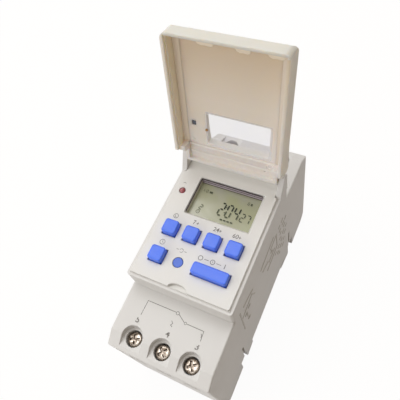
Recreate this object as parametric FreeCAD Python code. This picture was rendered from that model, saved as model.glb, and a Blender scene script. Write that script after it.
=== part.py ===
# Programmable digital timer switch, two modules wide, for a 35 mm mounting rail.
# Millimetres. The device lies on its back: X runs across it, Y along it toward the
# lid's hinge, Z out of the face. The origin is the middle of the back. The lid is
# drawn closed and then swung open onto its stop, which is how it is exported.
import FreeCAD, Part
import math
import os

# Case, outside
case_width = 36.0
case_length = 88.0
end_height = 45.2
facet_rise = 3.1
facet_run = 4.6
shoulder_rise = 1.0
nose_rise = 7.9
nose_length = 46.8
back_radius = 5.0
nose_corner = 1.0
end_corner = 0.8
edge_radius = 0.5
side_wall = 1.6
end_wall = 1.8
shoulder_wall = 2.0
nose_end_wall = 2.0
facet_wall_drop = 1.2
facet_wall_run = 0.4
side_groove_width = 1.2
side_groove_depth = 1.0
side_groove_height = 18.5

# Mounting rail: the channel, its fixed hook, the two cross slots
rail_width = 35.0
rail_play = 0.3
rail_seat_depth = 4.4
hook_reach = 3.0
hook_gap = 1.4
hook_tip = 0.8
lead_in_height = 1.0
lead_in_run = 4.8
slot_inset = 5.5
slot_width = 4.9
slot_depth = 7.2

# Rear cover and the rail clip
cover_wall = 1.8
cover_play = 0.1
snap_tab_width = 5.0
snap_tab_offset = 11.0
snap_hook = 0.9
snap_tab_thickness = 1.2
snap_tab_height = 3.0
snap_play = 0.25
clip_flange_width = 13.0
clip_tongue_width = 9.0
clip_flange_thickness = 1.2
clip_back_gap = 0.3
clip_tongue_drop = 1.3
clip_play = 0.2
clip_travel = 3.5
clip_reach = 2.0
clip_overhang = 1.0
clip_block_wall = 1.6
clip_block_roof = 2.0
clip_notch_gap = 0.3
clip_stop_depth = 1.4
clip_stop_gap = 0.05
clip_end_bar = 2.8
clip_edge = 0.6
clip_nose_run = 1.6
clip_nose_drop = 0.8
driver_slot_half = 2.5
driver_slot_inset = 1.2
driver_slot_width = 1.5
spring_strip = 0.3
spring_half = 1.3
spring_length = 8.6
spring_folds = 7
spring_post = 1.0
spring_side_gap = 0.4
spring_end_gap = 0.05
spring_lift = 0.3
spring_height = 1.8

# Terminals
terminal_pitch = 10.2
terminal_inset = 4.8
scoop_radius = 3.6
scoop_depth = 0.6
driver_bore_radius = 2.75
driver_boss_wall = 1.5
driver_boss_gap = 0.2
screw_head_radius = 2.4
screw_head_height = 2.2
screw_shank_radius = 1.5
screw_tip_gap = 0.05
head_rim = 0.35
thread_play = 0.05
cross_width = 0.8
cross_length = 3.4
cross_depth = 1.2
cage_width = 6.8
cage_depth = 5.8
cage_wall = 0.8
cage_top = 2.2
cage_travel = 2.5
cage_shift = -0.1
cage_bevel = 0.5
cage_head_gap = 0.3
grip_half = 1.6
grip_width = 0.4
grip_depth = 0.2
wire_gap = 4.6
entry_margin = 0.3
entry_corner = 1.6
lug_width = 4.6
lug_leg_width = 3.6
lug_thickness = 0.8
lug_overhead = 1.0
lug_end_gap = 0.4
lug_reach = 8.6
lug_depth = 8.0
divider_thickness = 1.0
divider_height = 16.0
divider_reach = 5.2

# Face plate and the display window
plate_thickness = 2.0
plate_proud = 0.8
plate_ledge = 1.0
plate_play = 0.1
plate_side_play = 0.2
plate_corner = 0.6
plate_rear_corner = 0.3
lip_height = 1.5
lip_depth = 1.4
window_left_margin = 7.5
window_right_margin = 4.55
window_bottom = 2.9
window_top = 16.1
window_bevel = 0.8
window_bevel_drop = 1.2
window_corner = 0.3
window_face_corner = 0.5
thumb_notch_centre = -0.35
thumb_notch_half = 3.15
thumb_notch_reach = 1.7
thumb_notch_depth = 1.1
peg_half = 1.0
peg_neck_half = 0.6
peg_stake_half = 0.9
peg_stake_height = 0.7
peg_play = 0.05
peg_inset = 2.2
peg_low = -19.4
peg_high = 20.1

# Keys, their switches and the lamp
key_size = 4.9
key_inset = 5.97
key_row = -4.66
lower_row = -14.4
key_proud = 2.2
key_corner = 0.8
key_edge = 0.4
key_play = 0.15
key_travel = 0.5
flange_margin = 0.6
flange_thickness = 0.8
flange_gap = 0.1
reset_shift = 0.15
reset_radius = 1.6
reset_proud = 0.1
reset_flange_half = 2.2
dimple_radius = 0.9
dimple_depth = 0.35
manual_inset = 9.64
manual_length = 12.0
manual_width = 3.95
switch_size = 5.9
switch_height = 2.0
switch_floor = 0.2
plunger_half = 1.5
plunger_play = 0.1
plunger_end_gap = 0.1
lamp_inset = 3.0
lamp_along = 9.55
lamp_radius = 1.05
lamp_play = 0.1
lamp_proud = 0.6

# Display board and what is on it
board_drop = 4.6
board_thickness = 1.2
board_side_gap = 0.6
display_board_half = 20.8
glass_thickness = 2.2
glass_side = 1.7
glass_gap = 0.1
glass_step = 0.8
frame_wall = 0.9
frame_play = 0.1
frame_ledge = 1.6
strip_width = 1.6
strip_gap = 0.2
chip_size = 10.0
chip_height = 1.6
chip_edge = 0.3
chip_across = 3.0
chip_along = 8.0
crystal_width = 2.4
crystal_length = 6.0
crystal_height = 1.4
crystal_gap = 1.8
cell_radius = 7.5
cell_thickness = 5.6
cell_drop = 0.8
cell_edge = 0.6
cell_across = -4.0
cell_along = -10.0
tab_width = 5.0
tab_thickness = 0.4
tab_gap = 0.3

# Power board and what is on it
power_board_height = 14.0
power_board_thickness = 1.6
power_board_end_gap = 0.7
cover_post_half = 2.0
cover_post_inset = 2.3
cover_post_end_gap = 11.2
cover_pin_half = 0.9
cover_pin_play = 0.05
relay_width = 15.4
relay_length = 19.2
relay_height = 15.5
relay_side_gap = 1.3
relay_along = -14.4
relay_edge = 0.8
capacitor_width = 8.5
capacitor_length = 18.0
capacitor_height = 15.0
capacitor_side_gap = 2.0
capacitor_along = -13.0
capacitor_edge = 0.6
can_radius = 5.0
can_height = 16.0
can_across = 7.5
can_along = 8.0
can_edge = 0.5
rectifier_width = 8.4
rectifier_length = 6.4
rectifier_height = 3.0
rectifier_across = -5.5
rectifier_along = 1.6
rectifier_edge = 0.4
varistor_radius = 5.0
varistor_thickness = 4.0
varistor_across = 5.5
varistor_along = 24.0
varistor_lift = 1.5
lead_half = 0.4
lead_shift = 2.5
pin_count = 6
pin_pitch = 2.0
pin_size = 0.6
pin_play = 0.05
header_width = 2.5
header_height = 2.5
pins_inset = 3.2
pins_along = 12.0

# Lid, drawn closed
hinge_back = 1.4
hinge_rise = 5.7
hinge_round = 1.4
hinge_pin_radius = 0.8
hinge_pin_play = 0.06
ear_width = 1.8
ear_side_gap = 0.2
ear_foot_length = 6.2
ear_skin = 0.4
hinge_pin_end_gap = 0.5
lid_open_angle = 103.75
lid_front_gap = 0.05
lid_roof_rise = 5.9
lid_wall = 1.4
lid_roof_wall = 1.4
lid_plate_gap = 0.2
lid_rebate_play = 0.05
lid_rim_gap = 0.1
lid_front_radius = 2.0
lid_corner_radius = 2.0
lid_hump_start = 7.5
lid_hump_end = 17.0
lid_hump_hollow = 6.0
lid_hump_round = 3.0
lid_end_back = 2.6
lid_end_round = 1.5
lid_end_slope = 0.4
lid_end_rise = 4.2
lid_end_cut = 2.3
lid_end_wall = 3.6
lid_tail_start = 12.5
lid_tail_lap = 0.5
lid_tail_inside = 5.5
lid_rear_wall = 1.2
lid_rear_edge = 2.4
opening_left_margin = 10.0
opening_right_margin = 5.4
opening_bottom = 3.05
opening_top = 14.65
opening_corner = 0.6
window_flange = 1.0
window_flange_side = 1.5
window_flange_left = 2.0
window_flange_right = 0.9
window_flange_low = 2.0
window_play = 0.1
window_sink = 0.1
peephole_inset = 5.4
peephole_along = 7.8
peephole_width = 1.5
peephole_length = 1.8
nib_proud = 0.35
nib_inner = 3.9
nib_outer = 8.5
nib_height = 1.3
nib_slope = 0.4

# Heights and half sizes that several pieces share
half_width = case_width / 2
half_length = case_length / 2
half_nose = nose_length / 2
facet_z = end_height + facet_rise
shoulder_z = facet_z + shoulder_rise
ledge_z = shoulder_z + nose_rise
inner_side = half_width - side_wall
inner_end = half_length - end_wall
channel = rail_width / 2 + rail_play
slot_inner = channel + slot_inset
slot_outer = slot_inner + slot_width
seat_z = rail_seat_depth
hook_z = seat_z - hook_gap
foot_y = half_length - back_radius
cover_side = inner_side - cover_play
cover_end = foot_y - cover_play
clip_top = clip_back_gap + clip_tongue_drop + clip_flange_thickness

terminal_y = half_length - terminal_inset
lug_top = end_height - lug_depth
lug_bottom = lug_top - lug_thickness
cage_floor_z = lug_bottom - wire_gap
cage_bottom_z = cage_floor_z - cage_wall
cage_ceiling_z = lug_top + lug_overhead
cage_top_z = cage_ceiling_z + cage_top
head_z = cage_top_z + cage_travel + cage_head_gap
head_top_z = head_z + screw_head_height
scoop_z = head_top_z + scoop_depth

plate_top = ledge_z + plate_proud
plate_bottom = plate_top - plate_thickness
board_top = plate_bottom - board_drop
board_bottom = board_top - board_thickness
power_top = power_board_height + power_board_thickness
board_side = inner_side - board_side_gap
peg_across = board_side - peg_inset
cover_post_across = board_side - cover_post_inset
cover_post_along = inner_end - cover_post_end_gap
pins_across = pins_inset - board_side
rebate_side = half_width - plate_ledge
rebate_end = half_nose - plate_ledge
rear_lip_y = half_nose - lip_depth
window_left = window_left_margin - rebate_side
window_right = rebate_side - window_right_margin
lamp_across = lamp_inset - rebate_side
manual_across = rebate_side - manual_inset

hinge_y = half_nose - hinge_back
hinge_z = ledge_z + hinge_rise
ear_inner = half_width - ear_width
narrow_side = ear_inner - ear_side_gap
lid_inner_side = half_width - lid_wall
roof_z = ledge_z + lid_roof_rise
ceiling_z = roof_z - lid_roof_wall
hump_z = hinge_z + hinge_round
lid_front = half_nose - lid_front_gap
clear_z = plate_top + lid_plate_gap
opening_left = opening_left_margin - half_width
opening_right = half_width - opening_right_margin
peephole_across = peephole_inset - half_width

SIDES = (-1, 1)
TERMINALS = [
    (-terminal_pitch, -1), (0, -1), (terminal_pitch, -1), (-terminal_pitch, 1), (terminal_pitch, 1),
]
SQUARE_KEYS = ["mode", "day", "hour", "minute"]
key_first = key_inset - rebate_side
key_pitch = -2 * key_first / (len(SQUARE_KEYS) - 1)
reset_across = key_first + key_pitch - reset_shift


def box(x0, x1, y0, y1, z0, z1):
    """A block between two corners."""
    corner = FreeCAD.Vector(x0, y0, z0)
    return Part.makeBox(x1 - x0, y1 - y0, z1 - z0, corner)


def post(radius, x, y, z0, z1):
    """A round bar along Z."""
    return Part.makeCylinder(radius, z1 - z0, FreeCAD.Vector(x, y, z0))


def square_post(half, x, y, z0, z1):
    """A square bar along Z."""
    return box(x - half, x + half, y - half, y + half, z0, z1)


def bar(radius, x0, x1, y, z):
    """A round bar along X."""
    start = FreeCAD.Vector(x0, y, z)
    return Part.makeCylinder(radius, x1 - x0, start, FreeCAD.Vector(1, 0, 0))


def outline(corners, place):
    """A closed face through corners (u, v) or (u, v, radius), rounded where a radius is given."""
    points = [FreeCAD.Vector(c[0], c[1], 0) for c in corners]
    radii = [c[2] if len(c) > 2 else 0 for c in corners]
    stretches = []
    for i, point in enumerate(points):
        before = (points[i - 1] - point).normalize()
        after = (points[(i + 1) % len(points)] - point).normalize()
        if radii[i] == 0:
            stretches.append((point, None, point))
            continue
        half = before.getAngle(after) / 2
        reach = radii[i] / math.tan(half)
        middle = (before + after).normalize() * (radii[i] / math.sin(half) - radii[i])
        stretches.append((point + before * reach, point + middle, point + after * reach))
    edges = []
    for i, (start, middle, end) in enumerate(stretches):
        if middle is not None:
            edges.append(Part.Arc(place(start), place(middle), place(end)).toShape())
        following = stretches[(i + 1) % len(stretches)][0]
        if end.distanceToPoint(following) > 0.001:
            edges.append(Part.makeLine(place(end), place(following)))
    return Part.Face(Part.Wire(edges))


def along_x(corners, x0, x1):
    """A side profile of (y, z) corners, drawn out along X."""
    face = outline(corners, lambda p: FreeCAD.Vector(x0, p.x, p.y))
    return face.extrude(FreeCAD.Vector(x1 - x0, 0, 0))


def along_y(corners, y0, y1):
    """An end profile of (x, z) corners, drawn out along Y."""
    face = outline(corners, lambda p: FreeCAD.Vector(p.x, y0, p.y))
    return face.extrude(FreeCAD.Vector(0, y1 - y0, 0))


def along_z(corners, z0, z1):
    """A plan of (x, y) corners, drawn out along Z."""
    face = outline(corners, lambda p: FreeCAD.Vector(p.x, p.y, z0))
    return face.extrude(FreeCAD.Vector(0, 0, z1 - z0))


def rounded_plan(x0, x1, y0, y1, radius):
    """The corners of a rounded rectangle in plan."""
    return [(x0, y0, radius), (x1, y0, radius), (x1, y1, radius), (x0, y1, radius)]


def fuse(pieces):
    """One solid out of pieces that overlap."""
    return pieces[0].multiFuse(pieces[1:]).removeSplitter()


def mirror_y(shape):
    """The same shape at the other end of the case."""
    return shape.mirror(FreeCAD.Vector(0, 0, 0), FreeCAD.Vector(0, 1, 0))


def back_line():
    """The back of the case from the clip's end to the hinge end, with the rail channel and slots."""
    return [
        (-slot_outer, 0), (-slot_outer, slot_depth), (-slot_inner, slot_depth), (-slot_inner, 0),
        (-channel - lead_in_run, 0), (-channel - 0.8, lead_in_height), (-channel, lead_in_height + 0.2),
        (-channel, seat_z), (channel, seat_z), (channel, hook_z),
        (channel - hook_reach, hook_z), (channel - hook_reach, hook_z - hook_tip),
        (channel + lead_in_run, 0), (slot_inner, 0), (slot_inner, slot_depth),
        (slot_outer, slot_depth), (slot_outer, 0),
    ]


def case_body():
    """The outside of the case: body with its two shoulders, and the nose standing on it."""
    front_line = [
        (half_length, 0, back_radius), (half_length, end_height), (half_length - facet_run, facet_z),
        (half_nose, shoulder_z), (-half_nose, shoulder_z), (facet_run - half_length, facet_z),
        (-half_length, end_height), (-half_length, 0, back_radius),
    ]
    body = along_x(back_line() + front_line, -half_width, half_width)
    shoulders = []
    for edge in body.Edges:
        centre = edge.CenterOfMass
        on_side = abs(abs(centre.x) - half_width) < 0.01
        if on_side and centre.z > end_height and abs(centre.y) > half_nose:
            shoulders.append(edge)
    body = body.makeFillet(edge_radius, shoulders)
    ends = rounded_plan(-half_width, half_width, -half_length, half_length, end_corner)
    body = body.common(along_z(ends, -1, ledge_z))
    plan = rounded_plan(-half_width, half_width, -half_nose, half_nose, nose_corner)
    nose = along_z(plan, end_height, ledge_z)
    return body.fuse(nose).removeSplitter()


def case_hollow():
    """The space inside, open at the back between the feet and at the front inside the nose."""
    front_z = shoulder_z - shoulder_wall
    facet_y = half_length - facet_run - facet_wall_run
    nose_y = half_nose - nose_end_wall
    wall_z = end_height - facet_wall_drop
    corner = back_radius - end_wall
    profile = [
        (-foot_y, -1), (-foot_y, end_wall), (-inner_end, end_wall, corner), (-inner_end, wall_z),
        (-facet_y, facet_z - shoulder_wall), (-nose_y, front_z), (-nose_y, ledge_z + 1),
        (nose_y, ledge_z + 1), (nose_y, front_z), (facet_y, facet_z - shoulder_wall),
        (inner_end, wall_z), (inner_end, end_wall, corner), (foot_y, end_wall), (foot_y, -1),
    ]
    return along_x(profile, -inner_side, inner_side)


def hinge_ear(side):
    """One ear: a web that runs up from the side wall and rounds over the hinge axis."""
    foot = half_nose - ear_foot_length
    reach_y = hinge_y - foot
    distance = math.hypot(reach_y, hinge_rise)
    slope = math.atan2(hinge_rise, reach_y) + math.asin(hinge_round / distance)
    touch_y = hinge_y - hinge_round * math.sin(slope)
    touch_z = hinge_z + hinge_round * math.cos(slope)
    behind = hinge_round * math.sqrt(0.5)
    x0 = ear_inner if side > 0 else -half_width

    def at(y, z):
        return FreeCAD.Vector(x0, y, z)

    top = at(hinge_y + behind, hinge_z + behind)
    edges = [
        Part.makeLine(at(half_nose, plate_bottom - 1), at(foot, plate_bottom - 1)),
        Part.makeLine(at(foot, plate_bottom - 1), at(foot, ledge_z)),
        Part.makeLine(at(foot, ledge_z), at(touch_y, touch_z)),
        Part.Arc(at(touch_y, touch_z), top, at(half_nose, hinge_z)).toShape(),
        Part.makeLine(at(half_nose, hinge_z), at(half_nose, plate_bottom - 1)),
    ]
    web = Part.Face(Part.Wire(edges)).extrude(FreeCAD.Vector(ear_width, 0, 0))
    hole_start = min(side * ear_inner, side * (half_width - ear_skin))
    hole_end = hole_start + ear_width - ear_skin
    hole = bar(hinge_pin_radius + hinge_pin_play, hole_start, hole_end, hinge_y, hinge_z)
    return web.cut(hole)


def terminal_cuts():
    """The scoop, driver bore and wire entry of each terminal."""
    cuts = []
    for x, end in TERMINALS:
        half_entry = cage_width / 2 - entry_margin
        scoop = post(scoop_radius, x, terminal_y, scoop_z, facet_z + 3)
        run_out = box(x - scoop_radius, x + scoop_radius, terminal_y, half_length + 1, scoop_z, facet_z + 3)
        bore = post(driver_bore_radius, x, terminal_y, lug_top, facet_z)
        entry = along_y([
            (x - half_entry, cage_floor_z), (x + half_entry, cage_floor_z),
            (x + half_entry, lug_bottom, entry_corner), (x - half_entry, lug_bottom, entry_corner),
        ], inner_end - 1, half_length + 1)
        group = Part.makeCompound([scoop, run_out, bore, entry])
        cuts.append(group if end > 0 else mirror_y(group))
    return cuts


def terminal_ribs(body):
    """Bosses round the driver bores and dividers between the terminals, kept inside the outer form."""
    ribs = []
    boss = driver_bore_radius + driver_boss_wall
    for x, end in TERMINALS:
        y = end * terminal_y
        ribs.append(box(x - boss, x + boss, y - boss, y + boss, head_z + driver_boss_gap, facet_z))
    for side in SIDES:
        for end in SIDES:
            middle = side * terminal_pitch / 2
            near = end * (terminal_y - divider_reach)
            far = end * (half_length - 1)
            left = middle - divider_thickness / 2
            right = middle + divider_thickness / 2
            bottom = end_height - divider_height
            ribs.append(box(left, right, min(near, far), max(near, far), bottom, facet_z))
    return [rib.common(body) for rib in ribs]


def side_grooves():
    """The slit and the shallow recess above each cross slot, on both side faces."""
    cuts = []
    for side in SIDES:
        for end in SIDES:
            middle = end * (slot_inner + side_groove_width)
            inner = half_width - side_groove_depth
            low = min(side * inner, side * (half_width + 1))
            high = max(side * inner, side * (half_width + 1))
            left = middle - side_groove_width / 2
            right = middle + side_groove_width / 2
            cuts.append(box(low, high, left, right, slot_depth - 0.5, side_groove_height))
    return cuts


def make_main_case():
    body = case_body()
    case = body.cut(case_hollow())
    rebate = box(-rebate_side, rebate_side, -rebate_end, rear_lip_y, plate_bottom, ledge_z + 1)
    case = case.cut(rebate)
    lip = box(-ear_inner, ear_inner, rear_lip_y, half_nose, plate_bottom, ledge_z + lip_height)
    case = fuse([case, lip, hinge_ear(-1), hinge_ear(1)] + terminal_ribs(body))
    notch_half = clip_tongue_width / 2 + clip_notch_gap
    notch_top = clip_top + clip_notch_gap
    clip_notch = box(-notch_half, notch_half, -half_length - 1, -foot_y + 1, -1, notch_top)
    return case.cut(terminal_cuts() + side_grooves() + [clip_notch])


def make_rear_cover():
    inner = [
        (cover_end, 0), (cover_end, cover_wall), (slot_outer + cover_wall, cover_wall),
        (slot_outer + cover_wall, slot_depth + cover_wall), (slot_inner - cover_wall, slot_depth + cover_wall),
        (slot_inner - cover_wall, seat_z + cover_wall),
    ]
    opposite = [(-y, z) for y, z in reversed(inner)]
    shell = along_x(back_line() + inner + opposite, -cover_side, cover_side)
    pocket_top = clip_top + clip_play
    flange_half = clip_flange_width / 2 + clip_play
    tongue_half = clip_tongue_width / 2 + clip_play
    block_half = flange_half + clip_block_wall
    block = box(-block_half, block_half, -cover_end, -channel, 0, pocket_top + clip_block_roof)
    flange_z = clip_back_gap + clip_tongue_drop - clip_play
    wide_end = clip_flange_end() + clip_stop_gap
    wide = box(-flange_half, flange_half, -cover_end - 1, wide_end, flange_z, pocket_top)
    narrow = box(-tongue_half, tongue_half, -cover_end - 1, -channel + 1, -1, pocket_top)
    cover = fuse([shell, block]).cut([wide, narrow])
    stop_bottom = clip_back_gap + clip_play
    stop_start = spring_start() - spring_post
    stop = box(-spring_half, spring_half, stop_start, spring_start(), stop_bottom, pocket_top + clip_play)
    pieces = [cover, stop]
    for side in SIDES:
        for end in SIDES:
            x = side * cover_post_across
            y = end * cover_post_along
            pieces.append(square_post(cover_post_half, x, y, cover_wall - 0.5, power_board_height))
            pieces.append(square_post(cover_pin_half, x, y, power_board_height - 1, power_top + 1))
            pieces.append(snap_tab(side, end))
    return fuse(pieces)


def snap_tab(side, end):
    """A springy tab whose hook sits over the foot of the case's end wall."""
    x = side * snap_tab_offset
    root = cover_end - snap_tab_thickness
    foot = cover_wall - snap_play
    hook = cover_wall + snap_play
    top = cover_wall + snap_tab_height
    profile = [
        (root, foot), (cover_end, foot), (cover_end, hook), (cover_end + snap_hook, hook + cover_play),
        (cover_end, top), (root, top),
    ]
    tab = along_x(profile, x - snap_tab_width / 2, x + snap_tab_width / 2)
    return tab if end > 0 else mirror_y(tab)


def clip_flange_end():
    """Where the clip's wide flanges stop against the cover, on the rail's side."""
    return -channel - clip_stop_depth


def spring_start():
    """The fixed end of the clip's spring."""
    return clip_flange_end() - clip_end_bar - spring_length


def make_rail_clip():
    low = clip_back_gap
    shelf = low + clip_tongue_drop
    top = clip_top
    nose = -channel + clip_reach
    outer = -foot_y - clip_overhang
    tongue_half = clip_tongue_width / 2
    flange_half = clip_flange_width / 2
    profile = [
        (outer, low + clip_edge), (outer + clip_edge, low), (nose - clip_nose_run, low),
        (nose, top - clip_nose_drop), (nose, top), (outer, top),
    ]
    tongue = along_x(profile, -tongue_half, tongue_half)
    flange_start = -cover_end + clip_travel + clip_notch_gap
    flange = box(-flange_half, flange_half, flange_start, clip_flange_end(), shelf, top)
    window_half = spring_half + spring_side_gap
    window_end = spring_start() + spring_length + spring_end_gap
    window_start = spring_start() - spring_post - clip_notch_gap
    window = box(-window_half, window_half, window_start, window_end, -1, top + 1)
    slot_start = outer + driver_slot_inset
    slot_end = slot_start + driver_slot_width
    driver_slot = box(-driver_slot_half, driver_slot_half, slot_start, slot_end, -1, top + 1)
    return fuse([tongue, flange]).cut([window, driver_slot])


def make_clip_spring():
    """A zigzag strip that pushes the clip toward the rail."""
    first = spring_start() + spring_end_gap
    fold_step = (spring_length - 2 * spring_end_gap - spring_strip) / spring_folds
    bottom = clip_back_gap + spring_lift
    bends = [(spring_half, first), (-spring_half, first)]
    for i in range(spring_folds):
        side = 1 if i % 2 == 0 else -1
        bends.append((side * spring_half, first + fold_step * (i + 1)))
    bends.append((-bends[-1][0], bends[-1][1]))
    legs = []
    for (x0, y0), (x1, y1) in zip(bends, bends[1:]):
        corners = [(x0, y0), (x1, y1), (x1, y1 + spring_strip), (x0, y0 + spring_strip)]
        legs.append(along_z(corners, bottom, bottom + spring_height))
    return fuse(legs)


def make_cage(x, end):
    """A clamp cage: a square loop round lug and wire, its thick top threaded on the screw."""
    half = cage_width / 2
    y0 = terminal_y + cage_shift - cage_depth / 2
    low = cage_bottom_z + cage_bevel
    foot = half - cage_bevel
    outer = along_y([
        (x - half, low), (x - foot, cage_bottom_z), (x + foot, cage_bottom_z),
        (x + half, low), (x + half, cage_top_z), (x - half, cage_top_z),
    ], y0, y0 + cage_depth)
    inner_half = half - cage_wall
    inside = box(x - inner_half, x + inner_half, y0 - 1, y0 + cage_depth + 1, cage_floor_z, cage_ceiling_z)
    hole = post(screw_shank_radius + thread_play, x, terminal_y, cage_ceiling_z - 1, cage_top_z + 1)
    grip = box(x - grip_half, x + grip_half, terminal_y - grip_width / 2, terminal_y + grip_width / 2,
               cage_floor_z - grip_depth, cage_floor_z + 1)
    cage = outer.cut([inside, hole, grip])
    return cage if end > 0 else mirror_y(cage)


def make_screw(x, end):
    """A terminal screw with a bevelled head and a cross recess."""
    y = end * terminal_y
    tip = lug_top + screw_tip_gap
    profile = [
        (0, tip), (screw_shank_radius, tip), (screw_shank_radius, head_z), (screw_head_radius, head_z),
        (screw_head_radius, head_top_z - head_rim), (screw_head_radius - head_rim, head_top_z),
        (0, head_top_z),
    ]
    face = outline(profile, lambda p: FreeCAD.Vector(p.x, 0, p.y))
    screw = face.revolve(FreeCAD.Vector(0, 0, 0), FreeCAD.Vector(0, 0, 1), 360)
    screw.translate(FreeCAD.Vector(x, y, 0))
    half = cross_width / 2
    reach = cross_length / 2
    bottom = head_top_z - cross_depth
    slots = [
        box(x - half, x + half, y - reach, y + reach, bottom, head_top_z + 1),
        box(x - reach, x + reach, y - half, y + half, bottom, head_top_z + 1),
    ]
    return screw.cut(slots)


def make_terminal_lugs():
    """Bent busbars: a tongue through the cage, a leg down to the power board."""
    lugs = []
    for x, end in TERMINALS:
        far = inner_end - lug_end_gap
        near = far - lug_reach
        half = lug_width / 2
        leg_half = lug_leg_width / 2
        tongue = box(x - half, x + half, near, far, lug_bottom, lug_top)
        leg = box(x - leg_half, x + leg_half, near, near + lug_thickness, power_top, lug_top)
        lug = fuse([tongue, leg])
        lugs.append(lug if end > 0 else mirror_y(lug))
    return Part.makeCompound(lugs)


def square_key_places():
    places = [(name, key_first + key_pitch * i, key_row) for i, name in enumerate(SQUARE_KEYS)]
    return places + [("clock", key_first, lower_row)]


def make_face_plate():
    narrow = ear_inner - plate_play
    wide = rebate_side - plate_side_play
    front = plate_play - rebate_end
    back = rear_lip_y - plate_play
    step = half_nose - ear_foot_length - plate_side_play
    plan = [
        (-wide, front, plate_corner), (wide, front, plate_corner), (wide, step), (narrow, step),
        (narrow, back, plate_rear_corner), (-narrow, back, plate_rear_corner), (-narrow, step), (-wide, step),
    ]
    plate = along_z(plan, plate_bottom, plate_top)
    cuts = [window_cut(), thumb_notch(front)]
    over = plate_top + 1
    under = plate_bottom - 1
    for name, x, y in square_key_places():
        half = key_size / 2 + key_play
        cuts.append(square_post(half, x, y, under, over))
    half_x = manual_length / 2 + key_play
    half_y = manual_width / 2 + key_play
    cuts.append(box(manual_across - half_x, manual_across + half_x,
                    lower_row - half_y, lower_row + half_y, under, over))
    cuts.append(post(reset_radius + key_play, reset_across, lower_row, under, over))
    cuts.append(post(lamp_radius + lamp_play, lamp_across, lamp_along, under, over))
    plate = plate.cut(cuts)
    return fuse([plate] + [plate_peg(x, y) for x, y in peg_places()])


def peg_places():
    """The four places where the plate carries the display board."""
    return [(side * peg_across, y) for side in SIDES for y in (peg_low, peg_high)]


def plate_peg(x, y):
    """A stepped peg: it holds the board off the plate, passes it and is staked over behind it."""
    shoulder = square_post(peg_half, x, y, board_top, plate_bottom + 0.5)
    neck = square_post(peg_neck_half, x, y, board_bottom - peg_stake_height, board_top + 0.5)
    stake = square_post(peg_stake_half, x, y, board_bottom - peg_stake_height, board_bottom)
    return fuse([shoulder, neck, stake])


def window_cut():
    """The display window, with sides that slope in from the face."""
    far_bevel = window_bevel / 2
    slope_z = plate_top - window_bevel_drop
    lower = rounded_plan(window_left, window_right, window_bottom, window_top, window_corner)
    upper = rounded_plan(window_left - far_bevel, window_right + window_bevel,
                         window_bottom - window_bevel, window_top + far_bevel, window_face_corner)
    bottom = outline(lower, lambda p: FreeCAD.Vector(p.x, p.y, slope_z)).OuterWire
    top = outline(upper, lambda p: FreeCAD.Vector(p.x, p.y, plate_top + 0.01)).OuterWire
    slope = Part.makeLoft([bottom, top], True, True)
    return slope.fuse(along_z(lower, plate_bottom - 1, slope_z))


def thumb_notch(front):
    """A half oval dent at the plate's edge, where a thumb lifts the lid."""
    oval = Part.Ellipse(FreeCAD.Vector(0, 0, 0), thumb_notch_half, thumb_notch_reach).toShape()
    dent = Part.Face(Part.Wire(oval)).extrude(FreeCAD.Vector(0, 0, thumb_notch_depth + 1))
    dent.translate(FreeCAD.Vector(thumb_notch_centre, front, plate_top - thumb_notch_depth))
    return dent


def capped_key(x, y, length, width):
    """A moulded key cap with soft edges, on a flange that stops it under the plate."""
    top = plate_top + key_proud
    plan = rounded_plan(x - length / 2, x + length / 2, y - width / 2, y + width / 2, key_corner)
    cap = along_z(plan, flange_bottom(), top)
    rim = [edge for edge in cap.Edges if abs(edge.CenterOfMass.z - top) < 0.001]
    cap = cap.makeChamfer(key_edge, rim)
    reach_x = length / 2 + flange_margin
    reach_y = width / 2 + flange_margin
    flange = box(x - reach_x, x + reach_x, y - reach_y, y + reach_y, flange_bottom(), flange_top())
    return fuse([cap, flange])


def flange_top():
    return plate_bottom - flange_gap


def flange_bottom():
    return flange_top() - flange_thickness


def make_reset_key():
    """The small round key, level with the face, with a dimple for a pen's tip."""
    top = plate_top + reset_proud
    stem = post(reset_radius, reset_across, lower_row, flange_bottom(), top)
    flange = square_post(reset_flange_half, reset_across, lower_row, flange_bottom(), flange_top())
    dimple_bottom = FreeCAD.Vector(reset_across, lower_row, top - dimple_depth)
    dimple = Part.makeCone(0, dimple_radius, dimple_depth, dimple_bottom)
    return fuse([stem, flange]).cut(dimple)


def key_places():
    """Every key's name and centre."""
    others = [("reset", reset_across, lower_row), ("manual", manual_across, lower_row)]
    return square_key_places() + others


def make_plunger(x, y):
    """The switch's plunger, from inside its bore up to the key."""
    bottom = board_top + switch_floor + key_travel + plunger_end_gap
    return square_post(plunger_half, x, y, bottom, flange_bottom())


def make_switch_bodies():
    bodies = []
    for name, x, y in key_places():
        top = board_top + switch_height
        body = square_post(switch_size / 2, x, y, board_top, top)
        bore = square_post(plunger_half + plunger_play, x, y, board_top + switch_floor, top + 1)
        bodies.append(body.cut(bore))
    return Part.makeCompound(bodies)


def make_led_indicator():
    dome_z = plate_top + lamp_proud - lamp_radius
    profile = [(0, board_top), (lamp_radius, board_top)]
    for degrees in (0, 30, 60):
        turn = math.radians(degrees)
        profile.append((lamp_radius * math.cos(turn), dome_z + lamp_radius * math.sin(turn)))
    profile.append((0, dome_z + lamp_radius))
    face = outline(profile, lambda p: FreeCAD.Vector(p.x, 0, p.y))
    lamp = face.revolve(FreeCAD.Vector(0, 0, 0), FreeCAD.Vector(0, 0, 1), 360)
    lamp.translate(FreeCAD.Vector(lamp_across, lamp_along, 0))
    return lamp


def glass_edges():
    """Left, right, lower and upper edge of the display cell in plan."""
    return (window_left - glass_side, window_right + glass_side,
            window_bottom - glass_side, window_top + glass_side)


def make_lcd_glass():
    left, right, low, high = glass_edges()
    top = plate_bottom - glass_gap
    middle = top - glass_thickness / 2
    thin = box(left, right, low, high, top - glass_thickness, middle)
    front = box(left, right, low + glass_step, high, middle, top)
    return fuse([thin, front])


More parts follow.
